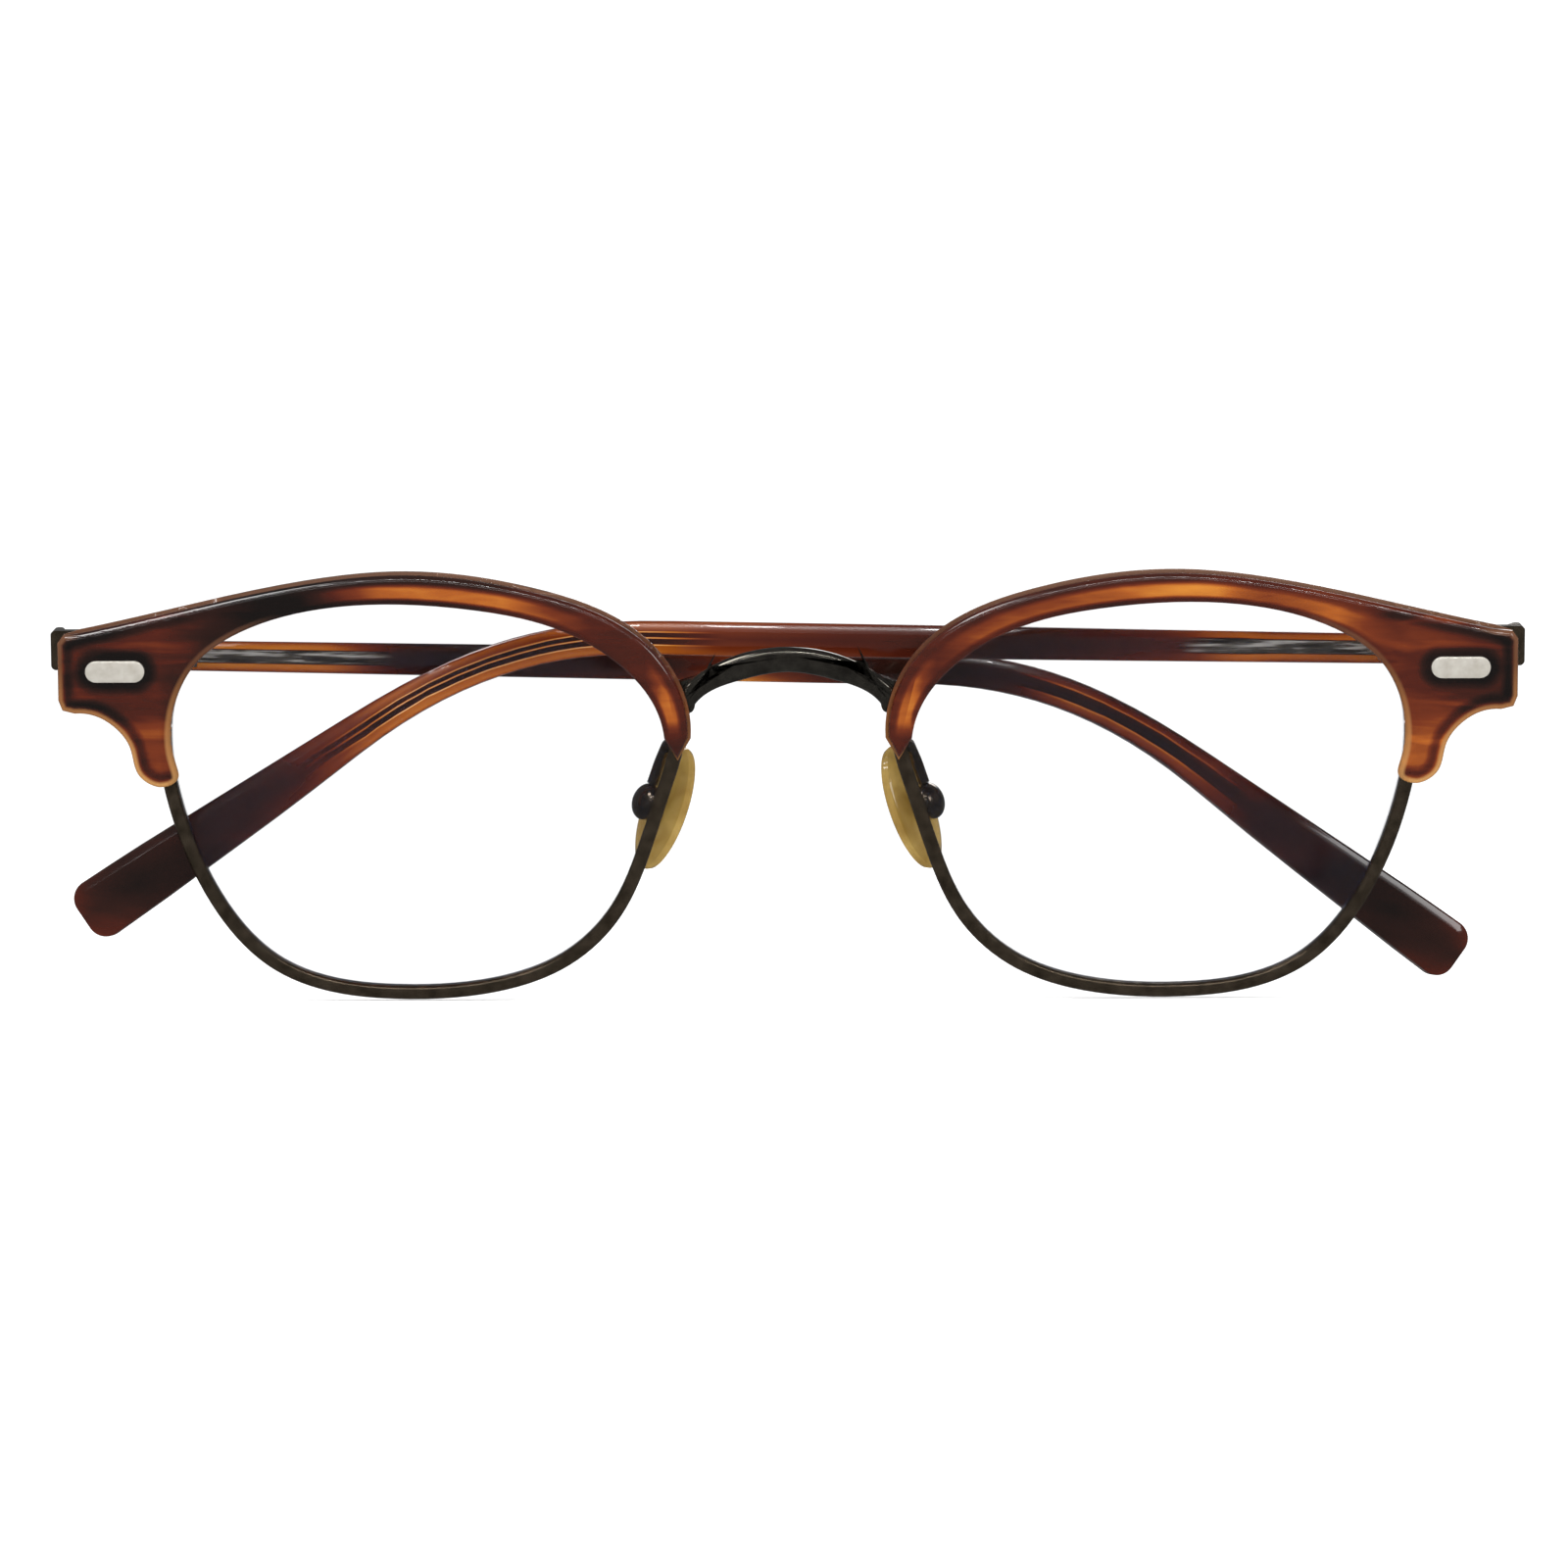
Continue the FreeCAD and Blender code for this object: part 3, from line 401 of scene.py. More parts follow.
# Bridge: a cast nickel alloy bar, rounded over and arched above the nose, whose flattened ends
# are brazed to both eyewires over small solder beads. It is polished nearly black.
polished_gunmetal = metal("polished_gunmetal", (0.06, 0.055, 0.048), (0.14, 0.13, 0.11),
                          (0.08, 0.14), 0.8, 0.96)
bridge_depth, bridge_wall = 1.6, 0.2
bridge_steps = [(0.05, 0.22), (0.12, 0.20), (0.20, 0.16), (0.26, 0.09), (0.20, 0.03)]
lug_outline = [(10.8, 31.4), (10.3, 30.2), (9.1, 30.1), (8.0, 31.5), (7.0, 32.3), (8.6, 32.1)]
lug_front, lug_back = 0.75, 2.6
bead_middle, bead_size = (9.7, 29.4), (0.55, 0.55, 1.0)
arch = outline_wire("bridge", face_way)
thickened(arch, filled(arch, face_way), face_way, bridge_depth, bridge_wall, bridge_steps)
low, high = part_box("bridge")
arch_front = (low + high) / 2


def on_face(across, up, back):
    """A place given in millimetres: across the face, its height, and behind the bridge's front."""
    off = up * MM - arch_front.z
    spot = Vector((across * MM, arch_front.y, arch_front.z)) + face_up * off / face_up.z
    return spot + face_way * (bridge_depth / 2 - back) * MM


for side in SIDES.values():
    lug = [bmesh.ops.create_vert(arch, co=on_face(side * across, up, back))["vert"][0]
           for across, up in lug_outline for back in (lug_front, lug_back)]
    bmesh.ops.convex_hull(arch, input=lug, use_existing_faces=False)
    across, up = bead_middle
    place = Matrix.Translation(on_face(side * across, up, bridge_depth / 2))
    bmesh.ops.create_uvsphere(arch, u_segments=20, v_segments=12, radius=MM,
                              matrix=place @ Matrix.Diagonal((*bead_size, 1)))
bmesh.ops.recalc_face_normals(arch, faces=arch.faces)
fit("bridge_bar", arch, polished_gunmetal, "front", "gunmetal", "bridge")


# Nose pads: oval pads of clear amber plastic moulded round a metal insert, whose tab turns on
# a small screw in a round box. A bent wire brazed to the eyewire carries the box.
dark_metal = metal("dark_metal", (0.07, 0.055, 0.045), (0.16, 0.13, 0.10), (0.10, 0.22), 1.2, 0.95)
pad_amber, tree, shader = new_finish("pad_amber")
swirl = clouds(tree, place_mm(tree), 0.35, detail=2.0, distortion=0.4)
feed(tree, shader.inputs["Base Color"],
     shades(tree, swirl, [(0.3, (0.33, 0.20, 0.045)), (0.7, (0.52, 0.35, 0.10))]))
shader.inputs["Roughness"].default_value = 0.12
shader.inputs["IOR"].default_value = 1.42
shader.inputs["Transmission Weight"].default_value = 0.25
shader.inputs["Coat Weight"].default_value = 0.5
shader.inputs["Coat Roughness"].default_value = 0.03


def round_edges(work, radius, segments, angle=35, beyond=0.0):
    """Rounds every edge that turns by more than an angle, beyond a distance from the middle."""
    sharp = [edge for edge in work.edges
             if edge.is_manifold and edge.calc_face_angle() > math.radians(angle)
             and min(abs(end.co.x) for end in edge.verts) >= beyond]
    bmesh.ops.bevel(work, geom=sharp, offset=radius, offset_type="OFFSET", segments=segments,
                    profile=0.5, affect="EDGES", clamp_overlap=True, material=-1)


pad_half = 1.0 * MM
dome_steps = [(0.15, 0.40), (0.35, 0.25), (0.7, 0.18), (1.0, 0.10)]
insert_share, insert_depth = 0.36, 0.5 * MM
cup_radius, cup_flat, cup_mouth, cup_steps = 1.87 * MM, 0.62, 0.5, [(0.35, 0.0), (0.15, -0.7)]
wire_round = 0.08 * MM
for word, side in SIDES.items():
    node = f"{word}_nose_pad"
    insert = joined_copy(node)
    widest = max((face for face in insert.faces if face.normal.x * side < 0),
                 key=lambda face: face.calc_area())
    nose_way, nose_face = widest.normal.copy(), widest.calc_center_median()
    back_level = nose_face - nose_way * (2 * pad_half + 0.01 * MM)
    bmesh.ops.bisect_plane(insert, geom=[*insert.verts, *insert.edges, *insert.faces],
                           plane_co=back_level, plane_no=-nose_way, clear_inner=True,
                           dist=0.001 * MM)
    bmesh.ops.holes_fill(insert, edges=[edge for edge in insert.edges if edge.is_boundary])
    plate = outline_wire(node, nose_way)
    disc = filled(plate, nose_way)
    middle_spot = disc.calc_center_median()
    shrink = (Matrix.Translation(middle_spot - nose_way * (2 * pad_half + 0.02 * MM))
              @ Matrix.Scale(insert_share, 4) @ Matrix.Translation(-middle_spot))
    bmesh.ops.transform(plate, matrix=shrink, verts=plate.verts)
    raised(plate, disc, nose_way * insert_depth)
    bmesh.ops.recalc_face_normals(plate, faces=plate.faces)
    held = bpy.data.meshes.new("insert_plate")
    plate.to_mesh(held)
    plate.free()
    insert.from_mesh(held)
    fit(f"{word}_pad_insert", insert, dark_metal, f"{word}_pad", "dark_metal")

    pad = outline_wire(node, nose_way)
    thickened(pad, filled(pad, nose_way), nose_way, 2 * pad_half / MM, 0.001, dome_steps)
    bmesh.ops.remove_doubles(pad, verts=pad.verts, dist=0.01 * MM)
    bmesh.ops.recalc_face_normals(pad, faces=pad.faces)
    fit(f"{word}_pad_cushion", pad, pad_amber, f"{word}_pad", "pad_amber", node)

    low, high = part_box(f"{word}_pad_box")
    turn = nose_way.to_track_quat("Z", "Y").to_matrix().to_4x4()
    cup = bmesh.new()
    bmesh.ops.create_uvsphere(cup, u_segments=40, v_segments=20, radius=cup_radius)
    bmesh.ops.scale(cup, vec=(1, 1, cup_flat), verts=cup.verts)
    bmesh.ops.bisect_plane(cup, geom=[*cup.verts, *cup.edges, *cup.faces],
                           plane_co=(0, 0, cup_mouth * cup_radius), plane_no=(0, 0, 1),
                           clear_outer=True, dist=0.001 * MM)
    mouth = bmesh.ops.holes_fill(cup, edges=[edge for edge in cup.edges if edge.is_boundary])
    stepped(cup, mouth["faces"][0], cup_steps)
    bmesh.ops.transform(cup, matrix=Matrix.Translation((low + high) / 2) @ turn, verts=cup.verts)
    fit(f"{word}_pad_box_turned", cup, dark_metal, "front", "dark_metal", f"{word}_pad_box")
    for part in ("pad_screw", "pad_arm"):
        piece = joined_copy(f"{word}_{part}")
        round_edges(piece, wire_round, 2, angle=60)
        fit(f"{word}_{part}_turned", piece, dark_metal, "front", "dark_metal", f"{word}_{part}")


# Rim closings: each eyewire is split behind the end piece, and a small screw through two
# barrels draws it shut round the lens. Barrels are brazed alloy, screws are plain steel.
screw_steel = metal("screw_steel", (0.42, 0.41, 0.40), (0.60, 0.59, 0.57), (0.15, 0.28), 1.5)
for word in SIDES:
    for part, finish, slot, radius in (("rim_barrels", gunmetal, "gunmetal", 0.15),
                                       ("rim_screw", screw_steel, "screw_steel", 0.08)):
        piece = joined_copy(f"{word}_{part}")
        round_edges(piece, radius * MM, 3)
        fit(f"{word}_{part}_turned", piece, finish, "front", slot, f"{word}_{part}")


# Browlines: caps of tortoise acetate, a dark front layer on a thinner pale one, milled to the
# lens opening, bevelled all round and polished. Two screws from behind hold each cap.
def rise(tree, value, start, end):
    """0 before start and 1 after end, with a soft step between."""
    step = tree.nodes.new("ShaderNodeMapRange")
    step.interpolation_type = "SMOOTHSTEP"
    feed(tree, step.inputs["Value"], value)
    step.inputs["From Min"].default_value = start
    step.inputs["From Max"].default_value = end
    return step.outputs["Result"]


def blended(tree, share, first, second):
    """One colour turned into another by a share from 0 to 1."""
    mix = tree.nodes.new("ShaderNodeMix")
    mix.data_type = "RGBA"
    feed(tree, mix.inputs["Factor"], share)
    feed(tree, mix.inputs["A"], first)
    feed(tree, mix.inputs["B"], second)
    return mix.outputs["Result"]


def surface_value(tree, name):
    """A number stored on the mesh."""
    reader = tree.nodes.new("ShaderNodeAttribute")
    reader.attribute_name = name
    return reader.outputs["Fac"]


def tortoise(tree, tone):
    """Acetate colours from near black at 0, through red brown and amber, to cream at 1.2."""
    scaled = calc(tree, "DIVIDE", tone, 1.2, clamp=True)
    return shades(tree, scaled, [
        (0.00, (0.004, 0.002, 0.0015)), (0.17, (0.020, 0.005, 0.003)),
        (0.32, (0.058, 0.008, 0.003)), (0.47, (0.130, 0.021, 0.004)),
        (0.62, (0.31, 0.075, 0.008)), (0.80, (0.54, 0.20, 0.022)), (1.00, (0.90, 0.66, 0.36))])


def polish_acetate(shader):
    """The gloss of tumbled acetate."""
    shader.inputs["Roughness"].default_value = 0.16
    shader.inputs["IOR"].default_value = 1.48
    shader.inputs["Coat Weight"].default_value = 0.4
    shader.inputs["Coat Roughness"].default_value = 0.03


half_face = 72.0
brow_acetate, tree, shader = new_finish("brow_acetate")
spot = tree.nodes.new("ShaderNodeSeparateXYZ")
tree.links.new(place_mm(tree), spot.inputs[0])
across_face, up_face = spot.outputs["X"], spot.outputs["Z"]
from_middle = calc(tree, "ABSOLUTE", across_face)
run = calc(tree, "MULTIPLY_ADD", across_face, 0.5 / half_face, 0.5)


def along_face(stops):
    """Ramp stops given by distance across the face in millimetres."""
    return [(0.5 + place / half_face / 2, level) for place, level in stops]


body_tone = levels(tree, run, along_face([
    (-72, 0.30), (-67, 0.24), (-62, 0.34), (-57, 0.10), (-52, 0.02), (-46, 0.04), (-34, 0.18),
    (-24, 0.30), (-12, 0.34), (12, 0.36), (20, 0.36), (34, 0.26), (46, 0.30), (53, 0.42),
    (58, 0.44), (64, 0.40), (68, 0.34), (72, 0.26)]))
stripe_tone = levels(tree, run, along_face([
    (-72, 0), (-48, 0), (-44, 0.55), (-40, 1), (-28, 0.95), (-23.5, 0.45), (-19, 0), (-14, 0),
    (-12.3, 0.6), (-10.5, 0.7), (10.5, 0.7), (12.3, 0.6), (14.5, 0.1), (20, 0.45), (32, 0.75),
    (42, 0.85), (47, 0.4), (54, 0.5), (57, 0.3), (60, 0)]))
height = surface_value(tree, "across")
stripe_band = calc(tree, "MULTIPLY", rise(tree, height, 0.12, 0.26),
                   calc(tree, "SUBTRACT", 1.0, rise(tree, height, 0.50, 0.72)))
stripe = calc(tree, "MULTIPLY", stripe_tone, stripe_band)
nose_dark = calc(tree, "SUBTRACT", 1.0, rise(tree, up_face, 25.6, 28.0))
stripe = calc(tree, "MULTIPLY", stripe, calc(tree, "SUBTRACT", 1.0, nose_dark))
streaks = clouds(tree, place_mm(tree, (0.5, 1, 1.7)), 0.11, detail=3, distortion=0.9)
veins = clouds(tree, place_mm(tree, (0.3, 1, 2.2)), 0.5, detail=4, distortion=0.5)
leg = calc(tree, "MULTIPLY", calc(tree, "SUBTRACT", 1.0, rise(tree, up_face, 24, 30)),
           rise(tree, from_middle, 55, 58))
# Painted shade: the acetate is darkened in a soft ring round each trim plate, where shade falls in
# the plate's recess and the gap beside it.
plate_off = calc(tree, "ABSOLUTE", calc(tree, "SUBTRACT", from_middle, 66.1))
plate_across = calc(tree, "MAXIMUM", calc(tree, "SUBTRACT", plate_off, 2.0), 0.0)
plate_up = calc(tree, "SUBTRACT", up_face, 32.6)
from_plate = calc(tree, "SQRT", calc(tree, "ADD", calc(tree, "POWER", plate_across, 2.0),
                                     calc(tree, "POWER", plate_up, 2.0)))
plate_recess_shade = calc(tree, "SUBTRACT", 1.0, rise(tree, from_plate, 1.3, 2.5))
inwards = surface_value(tree, "inwards")
end_zone = rise(tree, from_middle, 56, 60)
# Painted shade: a dark line on the end pieces, about 0.55 to 1.9 mm in from the outer edge, where
# shade falls in the crease inside the bevel.
crease_shade_line = calc(tree, "MULTIPLY", end_zone, calc(tree, "MULTIPLY", rise(tree, inwards, 0.55, 0.95),
                 calc(tree, "SUBTRACT", 1.0, rise(tree, inwards, 1.1, 1.9))))
glow = clouds(tree, place_mm(tree, (0.12, 1, 0.8)), 0.8, detail=1.5, distortion=0.4)
glow = calc(tree, "MULTIPLY", rise(tree, glow, 0.52, 0.66), end_zone)
tone = calc(tree, "MULTIPLY_ADD", stripe, 0.62, body_tone)
tone = calc(tree, "MULTIPLY_ADD", leg, 0.24, tone)
tone = calc(tree, "MULTIPLY_ADD", glow, 0.14, tone)
tone = calc(tree, "MULTIPLY_ADD", plate_recess_shade, -0.32, tone)
tone = calc(tree, "MULTIPLY_ADD", crease_shade_line, -0.26, tone)
tone = calc(tree, "MULTIPLY_ADD", calc(tree, "SUBTRACT", streaks, 0.5), 0.5, tone)
tone = calc(tree, "MULTIPLY_ADD", calc(tree, "SUBTRACT", veins, 0.5), 0.22, tone)
pale = shades(tree, calc(tree, "DIVIDE", calc(tree, "SUBTRACT", up_face, 20), 22, clamp=True), [
    (0.0, (0.50, 0.26, 0.085)), (0.35, (0.30, 0.13, 0.04)), (0.6, (0.12, 0.045, 0.018)),
    (1.0, (0.16, 0.08, 0.05))])
feed(tree, shader.inputs["Base Color"],
     blended(tree, surface_value(tree, "edge"), tortoise(tree, tone), pale))
polish_acetate(shader)

layer_depth, shelf_start, shelf = 1.6 * MM, 1.05 * MM, 0.32 * MM
bevel_steps = [(0.05, 0.18), (0.10, 0.16), (0.20, 0.13)]
crown_steps = [(0.28, 0.09), (0.35, 0.05)]
leg_from, leg_round, leg_cut, leg_passes = 50 * MM, 2.2 * MM, 0.25 * MM, 20
rail_gap, ledge_drop, ledge_depth = 0.1 * MM, 0.4 * MM, 1.9 * MM
cap_step, end_reach, end_step = 1.5 * MM, 57 * MM, 0.5 * MM
nose_reach, ear_reach = 12 * MM, 70.3 * MM
for word, side in SIDES.items():
    node = f"{word}_brow"
    cap = outline_wire(node, face_way)
    corners = [end.co.copy() for end in cap.verts if abs(end.co.x) > leg_from
               and (end.link_edges[0].other_vert(end).co - end.co).angle(
                   end.link_edges[1].other_vert(end).co - end.co) < math.radians(120)]

    def by_corner(end, reach):
        """Whether a point of the outline is near a sharp corner."""
        return any((end.co - corner).length < reach for corner in corners)

    for edge in list(cap.edges):
        cuts = int(edge.calc_length() / leg_cut)
        if cuts and any(by_corner(end, leg_round) for end in edge.verts):
            bmesh.ops.subdivide_edges(cap, edges=[edge], cuts=cuts)
    for _ in range(leg_passes):
        bmesh.ops.smooth_vert(cap, verts=[end for end in cap.verts if by_corner(end, leg_round)],
                              factor=0.5, use_axis_x=True, use_axis_y=True, use_axis_z=True)
    front = filled(cap, face_way)

    lens_low, lens_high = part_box(f"{word}_lens")
    lens_middle = (lens_low + lens_high) / 2
    spots, outwards, kinds = [], [], []
    for corner in front.loops:
        after = corner.link_loop_next.vert.co
        outward = (after - corner.link_loop_prev.vert.co).cross(front.normal).normalized()
        to_lens = (lens_middle - corner.vert.co).normalized()
        if outward.dot(to_lens) > 0.35:
            kind = "opening"
        elif abs(corner.vert.co.x) < nose_reach or (outward.z > 0.3
                                                    and abs(corner.vert.co.x) < ear_reach):
            kind = "top"
        else:
            kind = "free"
        for number in range(1 + int((after - corner.vert.co).length / rail_gap)):
            share = number * rail_gap / max((after - corner.vert.co).length, rail_gap)
            spots.append(corner.vert.co.lerp(after, share))
            outwards.append(outward)
            kinds.append(kind)
    rails = {}
    for kind, members in (("any", ("top", "opening", "free")), ("top", ("top",)),
                          ("opening", ("opening",)), ("outer", ("top", "free"))):
        chosen = [number for number, found in enumerate(kinds) if found in members]
        rails[kind] = KDTree(len(chosen))
        for number in chosen:
            rails[kind].insert(spots[number], number)
        rails[kind].balance()
    edge_tint = cap.verts.layers.float.new("edge")

    def tint(ring, is_bevel):
        """Marks the pale layer and the bevels, which thin acetate lightens."""
        for spot in ring:
            kind = kinds[rails["any"].find(spot.co)[1]]
            off_middle = abs(spot.co.x) / MM
            near_ear = min(1, max(0, (off_middle - 50) / 6))
            past_nose = min(1, max(0, (off_middle - 10) / 12))
            spot[edge_tint] = {"opening": 0.7 * near_ear,
                               "top": 0.0 if is_bevel else 0.35 + 0.65 * past_nose,
                               "free": 0.9}[kind]

    bmesh.ops.translate(cap, verts=cap.verts, vec=-face_way * layer_depth)
    tint(cap.verts, False)
    front = raised(cap, front, face_way * (layer_depth - shelf_start))
    tint(front.verts, False)
    front = raised(cap, front, face_way * 0.02 * MM)
    for spot in front.verts:
        number = rails["any"].find(spot.co)[1]
        if kinds[number] == "top":
            spot.co -= outwards[number] * shelf
    tint(front.verts, False)
    front = raised(cap, front, face_way * 0.35 * MM)
    tint(front.verts, True)
    for step in bevel_steps:
        stepped(cap, front, [step])
        tint(front.verts, True)
    for step in crown_steps:
        stepped(cap, front, [step])
        for spot in front.verts:
            spot[edge_tint] = 0.0

    ledge = outline_wire(node, -face_way)
    rear = filled(ledge, -face_way)
    bmesh.ops.translate(ledge, verts=ledge.verts, vec=-face_up * ledge_drop)
    raised(ledge, rear, face_way * ledge_depth)
    bmesh.ops.recalc_face_normals(ledge, faces=ledge.faces)
    held = bpy.data.meshes.new("ledge")
    ledge.to_mesh(held)
    ledge.free()
    cap.from_mesh(held)
    low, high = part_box(node)
    sliced(cap, Vector((1, 0, 0)), low.x, high.x, cap_step)
    if side < 0:
        sliced(cap, Vector((1, 0, 0)), low.x, -end_reach, end_step)
    else:
        sliced(cap, Vector((1, 0, 0)), end_reach, high.x, end_step)
    sliced(cap, Vector((0, 0, 1)), low.z, high.z, end_step, beyond=end_reach)
    share = cap.verts.layers.float.new("across")
    inwards = cap.verts.layers.float.new("inwards")
    for spot in cap.verts:
        to_top = rails["top"].find(spot.co)[2]
        to_opening = rails["opening"].find(spot.co)[2]
        spot[share] = to_opening / (to_top + to_opening)
        spot[inwards] = rails["outer"].find(spot.co)[2] / MM
    bmesh.ops.recalc_face_normals(cap, faces=cap.faces)
    fit(f"{word}_brow_cap", cap, brow_acetate, "front", "brow_acetate", node)

polished_trim = metal("polished_trim", (0.66, 0.62, 0.54), (0.84, 0.80, 0.72), (0.10, 0.20),
                      1.0, 0.55)
trim_steps = [(0.12, 0.05), (0.20, 0.05), (0.35, 0.03)]
for word in SIDES:
    bar = joined_copy(f"{word}_trim_plate")
    stepped(bar, max((face for face in bar.faces if face.normal.dot(face_way) > 0.99),
                     key=lambda face: face.calc_area()), trim_steps)
    fit(f"{word}_trim_plate_polished", bar, polished_trim, "front", "polished_trim",
        f"{word}_trim_plate")
    for part, finish, slot, radius in (("brow_clip", gunmetal, "gunmetal", 0.15),
                                       ("brow_screws", screw_steel, "screw_steel", 0.08)):
        piece = joined_copy(f"{word}_{part}")
        round_edges(piece, radius * MM, 4)
        fit(f"{word}_{part}_polished", piece, finish, "front", slot, f"{word}_{part}")


# End pieces and hinges: a stamped strap behind each cap, turned back at the corner of the
# face, with a knuckle hinge soldered behind it and a slotted steel screw for its pin.
hinge_metal = metal("hinge_metal", (0.20, 0.19, 0.18), (0.33, 0.31, 0.29), (0.20, 0.35), 1.0)
strap_corner = 71.2 * MM
for word in SIDES:
    for part, finish, slot, body, radius in (
            ("end_piece", gunmetal, "gunmetal", "front", 0.45),
            ("front_hinge", hinge_metal, "hinge_metal", "front", 0.12),
            ("hinge_screw", screw_steel, "screw_steel", "front", 0.06),
            ("temple_hinge", hinge_metal, "hinge_metal", f"{word}_temple", 0.12)):
        piece = joined_copy(f"{word}_{part}")
        if part == "end_piece":
            round_edges(piece, radius * MM, 5, beyond=strap_corner)
        else:
            round_edges(piece, radius * MM, 3)
        fit(f"{word}_{part}_finished", piece, finish, body, slot, f"{word}_{part}")


# Temples: side arms of the same acetate, shot through with a flat metal core that shows near
# the hinge where the acetate is clear, bent down behind the ear and thickened at the tip.
shaft, ear_radius, ear_turn = 83 * MM, 45 * MM, math.radians(35)
temple_depth, temple_wall, slice_step = 2.6, 1.6, 3 * MM
facet_steps = [(0.06, 0.16), (0.22, 0.15), (0.66, 0.16), (0.08, 0.02)]
temple_length, least_half_height = 150.0, 1.2 * MM


def down_the_temple(ahead, up):
    """Distance along the temple's centre line and height above it."""
    if ahead <= shaft:
        return ahead, up
    turn = math.atan2(ahead - shaft, up + ear_radius)
    if turn < ear_turn:
        return shaft + ear_radius * turn, math.hypot(ahead - shaft, up + ear_radius) - ear_radius
    end_ahead = shaft + ear_radius * math.sin(ear_turn)
    end_up = ear_radius * (math.cos(ear_turn) - 1)
    past_ahead, past_up = ahead - end_ahead, up - end_up
    along = past_ahead * math.cos(ear_turn) - past_up * math.sin(ear_turn)
    off = past_ahead * math.sin(ear_turn) + past_up * math.cos(ear_turn)
    return shaft + ear_radius * ear_turn + along, off


def temple_finish(name, along_stops, ear_stripes_and_highlights, ear_start):
    """Striped acetate that follows a temple, over a metal core near the hinge, with highlight lines
    painted along the ear piece.
    """
    finish, tree, shader = new_finish(name)
    along = surface_value(tree, "along")
    across = surface_value(tree, "across")
    wander = clouds(tree, place_mm(tree, (0.3, 1, 1)), 0.1, detail=2)
    height = calc(tree, "MULTIPLY_ADD", across, 0.5, 0.5)
    wavy = calc(tree, "MULTIPLY_ADD", calc(tree, "SUBTRACT", wander, 0.5), 0.16, height)
    run = calc(tree, "DIVIDE", along, temple_length, clamp=True)
    shaft_tone = levels(tree, run, [(place / temple_length, level)
                                     for place, level in along_stops])
    sides = levels(tree, wavy, [(0.0, 0.9), (0.22, 0.62), (0.5, 0.35), (0.78, 0.62), (1.0, 0.8)])
    shaft_tone = calc(tree, "MULTIPLY", shaft_tone, calc(tree, "ADD", sides, 0.35))
    # The ear ramp holds the acetate's stripes and also painted highlight lines along the facets.
    ear_tone_and_highlights = levels(tree, wavy, ear_stripes_and_highlights)
    ear_zone = calc(tree, "MULTIPLY", rise(tree, along, ear_start, ear_start + 9),
                    calc(tree, "SUBTRACT", 1.0, rise(tree, along, 108, 122)))
    hinge_tone = levels(tree, height, [(0.0, 0.55), (0.10, 0.74), (0.24, 0.80), (0.27, 0.1),
                                       (0.73, 0.1), (0.76, 0.80), (0.90, 0.72), (1.0, 0.5)])
    hinge_zone = calc(tree, "SUBTRACT", 1.0, rise(tree, along, 22, 32))
    tone = blended(tree, ear_zone, shaft_tone, ear_tone_and_highlights)
    tone = blended(tree, hinge_zone, tone, hinge_tone)
    streaks = clouds(tree, place_mm(tree, (0.35, 1, 1.2)), 0.12, detail=3, distortion=0.8)
    tone = calc(tree, "MULTIPLY_ADD", calc(tree, "SUBTRACT", streaks, 0.5), 0.45, tone)
    from_line = calc(tree, "ABSOLUTE", calc(tree, "SUBTRACT", height, 0.5))
    core = calc(tree, "MULTIPLY", calc(tree, "SUBTRACT", 1.0, rise(tree, from_line, 0.19, 0.22)),
                calc(tree, "SUBTRACT", 1.0, rise(tree, along, 24, 30)))
    brushed = clouds(tree, place_mm(tree, (0.25, 1, 4)), 0.8, detail=4)
    steel = shades(tree, brushed, [(0.35, (0.03, 0.025, 0.02)), (0.5, (0.16, 0.14, 0.12)),
                                   (0.62, (0.75, 0.72, 0.68))])
    feed(tree, shader.inputs["Base Color"], blended(tree, core, tortoise(tree, tone), steel))
    feed(tree, shader.inputs["Metallic"], calc(tree, "MULTIPLY", core, 0.7))
    polish_acetate(shader)
    return finish
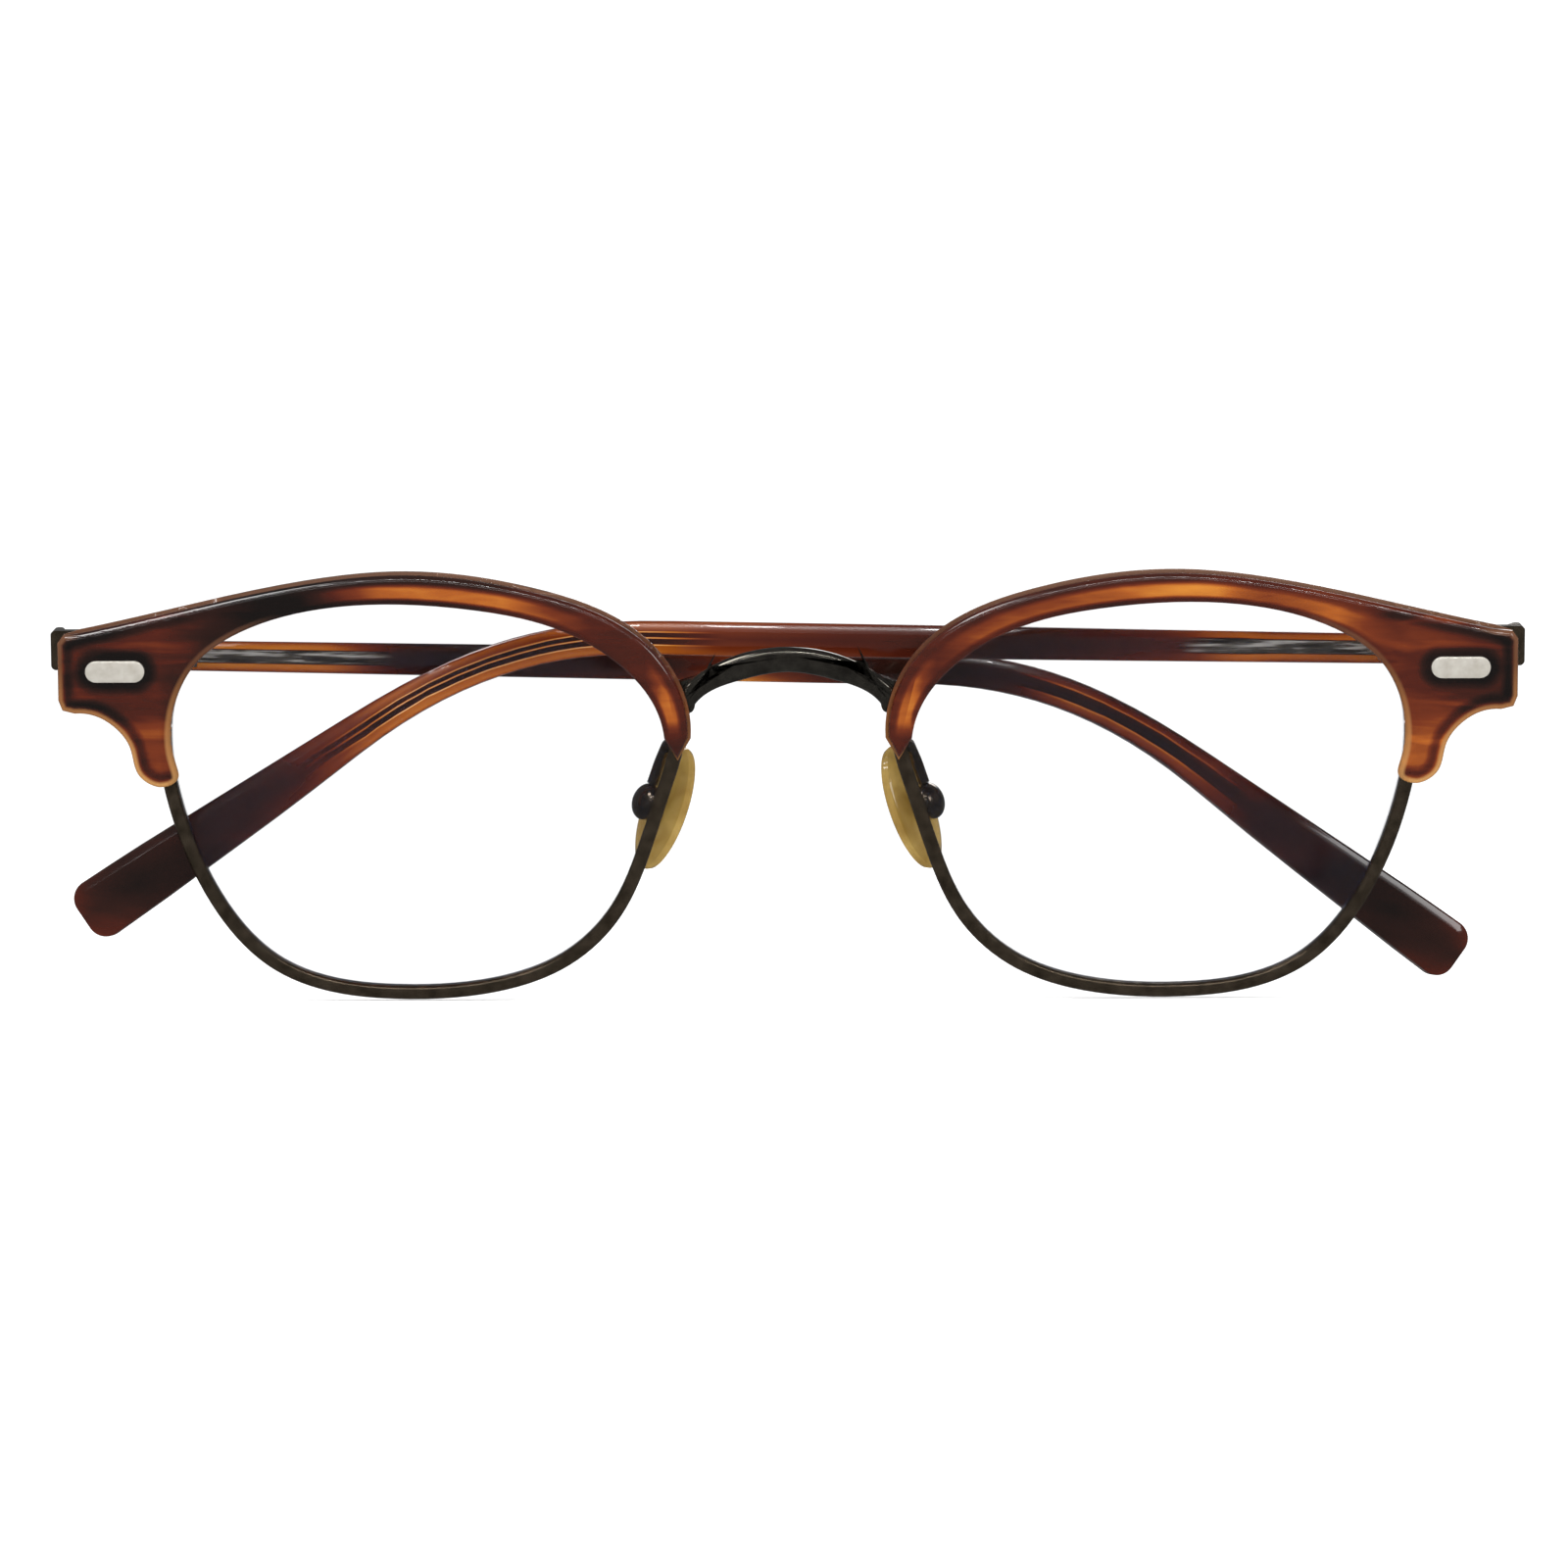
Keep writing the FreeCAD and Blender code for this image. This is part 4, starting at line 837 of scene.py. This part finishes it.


# Ear ramps by height across the temple: the broad amber and dark bands are the acetate's own
# stripes; the narrow cream peaks are painted highlight lines along the ear piece's facets.
striped_ear_and_highlights = [(0.0, 0.55), (0.10, 0.78), (0.22, 0.72), (0.27, 0.70), (0.30, 1.15), (0.33, 0.18),
               (0.46, 0.14), (0.50, 1.1), (0.54, 0.16), (0.64, 0.2), (0.67, 1.1), (0.70, 0.55),
               (0.88, 0.70), (1.0, 0.5)]
dark_ear_and_highlights = [(0.0, 0.30), (0.12, 0.55), (0.25, 0.62), (0.29, 0.9), (0.33, 0.12), (0.5, 0.10),
            (0.66, 0.3), (0.70, 0.85), (0.74, 0.45), (0.88, 0.35), (1.0, 0.2)]
temple_finishes = {
    "left": temple_finish("left_temple_acetate", [
        (0, 0.7), (26, 0.45), (45, 0.18), (60, 0.35), (75, 0.5), (95, 0.5), (118, 0.35),
        (128, 0.16), (140, 0.12), (147, 0.36)], striped_ear_and_highlights, 74),
    "right": temple_finish("right_temple_acetate", [
        (0, 0.7), (24, 0.30), (40, 0.12), (58, 0.30), (65, 0.75), (72, 0.35), (86, 0.12),
        (98, 0.3), (112, 0.55), (122, 0.16), (138, 0.12), (147, 0.40)], dark_ear_and_highlights, 90)}

core_wire = metal("core_wire", (0.30, 0.29, 0.27), (0.5, 0.48, 0.45), (0.2, 0.3), 1.0)
for word, side in SIDES.items():
    node = f"{word}_temple"
    joint = next(found for found in frame["joints"] if found["child"] == node)
    hinge, upright = Vector(joint["pos_m"]), Vector(joint["axis"])
    upright *= math.copysign(1, upright.z)
    whole = joined_copy(node)
    inward = max((face for face in whole.faces if face.normal.y < -0.9),
                 key=lambda face: face.calc_area()).normal.copy()
    whole.free()
    ahead = inward.cross(upright) * side
    arm = outline_wire(node, inward)
    spread = [(end.co - hinge).dot(ahead) for end in arm.verts]
    rims = sorted(down_the_temple((end.co - hinge).dot(ahead), (end.co - hinge).dot(upright))
                  for end in arm.verts)
    rims = [(along, abs(off)) for along, off in rims if abs(off) > least_half_height]
    thickened(arm, filled(arm, inward), inward, temple_depth, temple_wall, facet_steps)
    start = hinge.dot(ahead) + min(spread)
    sliced(arm, ahead, start, start + max(spread) - min(spread), slice_step)
    bmesh.ops.recalc_face_normals(arm, faces=arm.faces)
    along_layer = arm.verts.layers.float.new("along")
    across_layer = arm.verts.layers.float.new("across")
    for spot in arm.verts:
        off_hinge = spot.co - hinge
        along, off = down_the_temple(off_hinge.dot(ahead), off_hinge.dot(upright))
        half = min(rims, key=lambda pair: abs(pair[0] - along))[1]
        spot[along_layer] = along / MM
        spot[across_layer] = max(-1, min(1, off / half))
    fit(f"{word}_temple_arm", arm, temple_finishes[word], node, "temple_acetate", node)
    for part, finish, slot, radius in (("temple_core", core_wire, "core_wire", 0.05),
                                       ("temple_rivets", screw_steel, "screw_steel", 0.1)):
        piece = joined_copy(f"{word}_{part}")
        round_edges(piece, radius * MM, 2)
        fit(f"{word}_{part}_finished", piece, finish, node, slot, f"{word}_{part}")
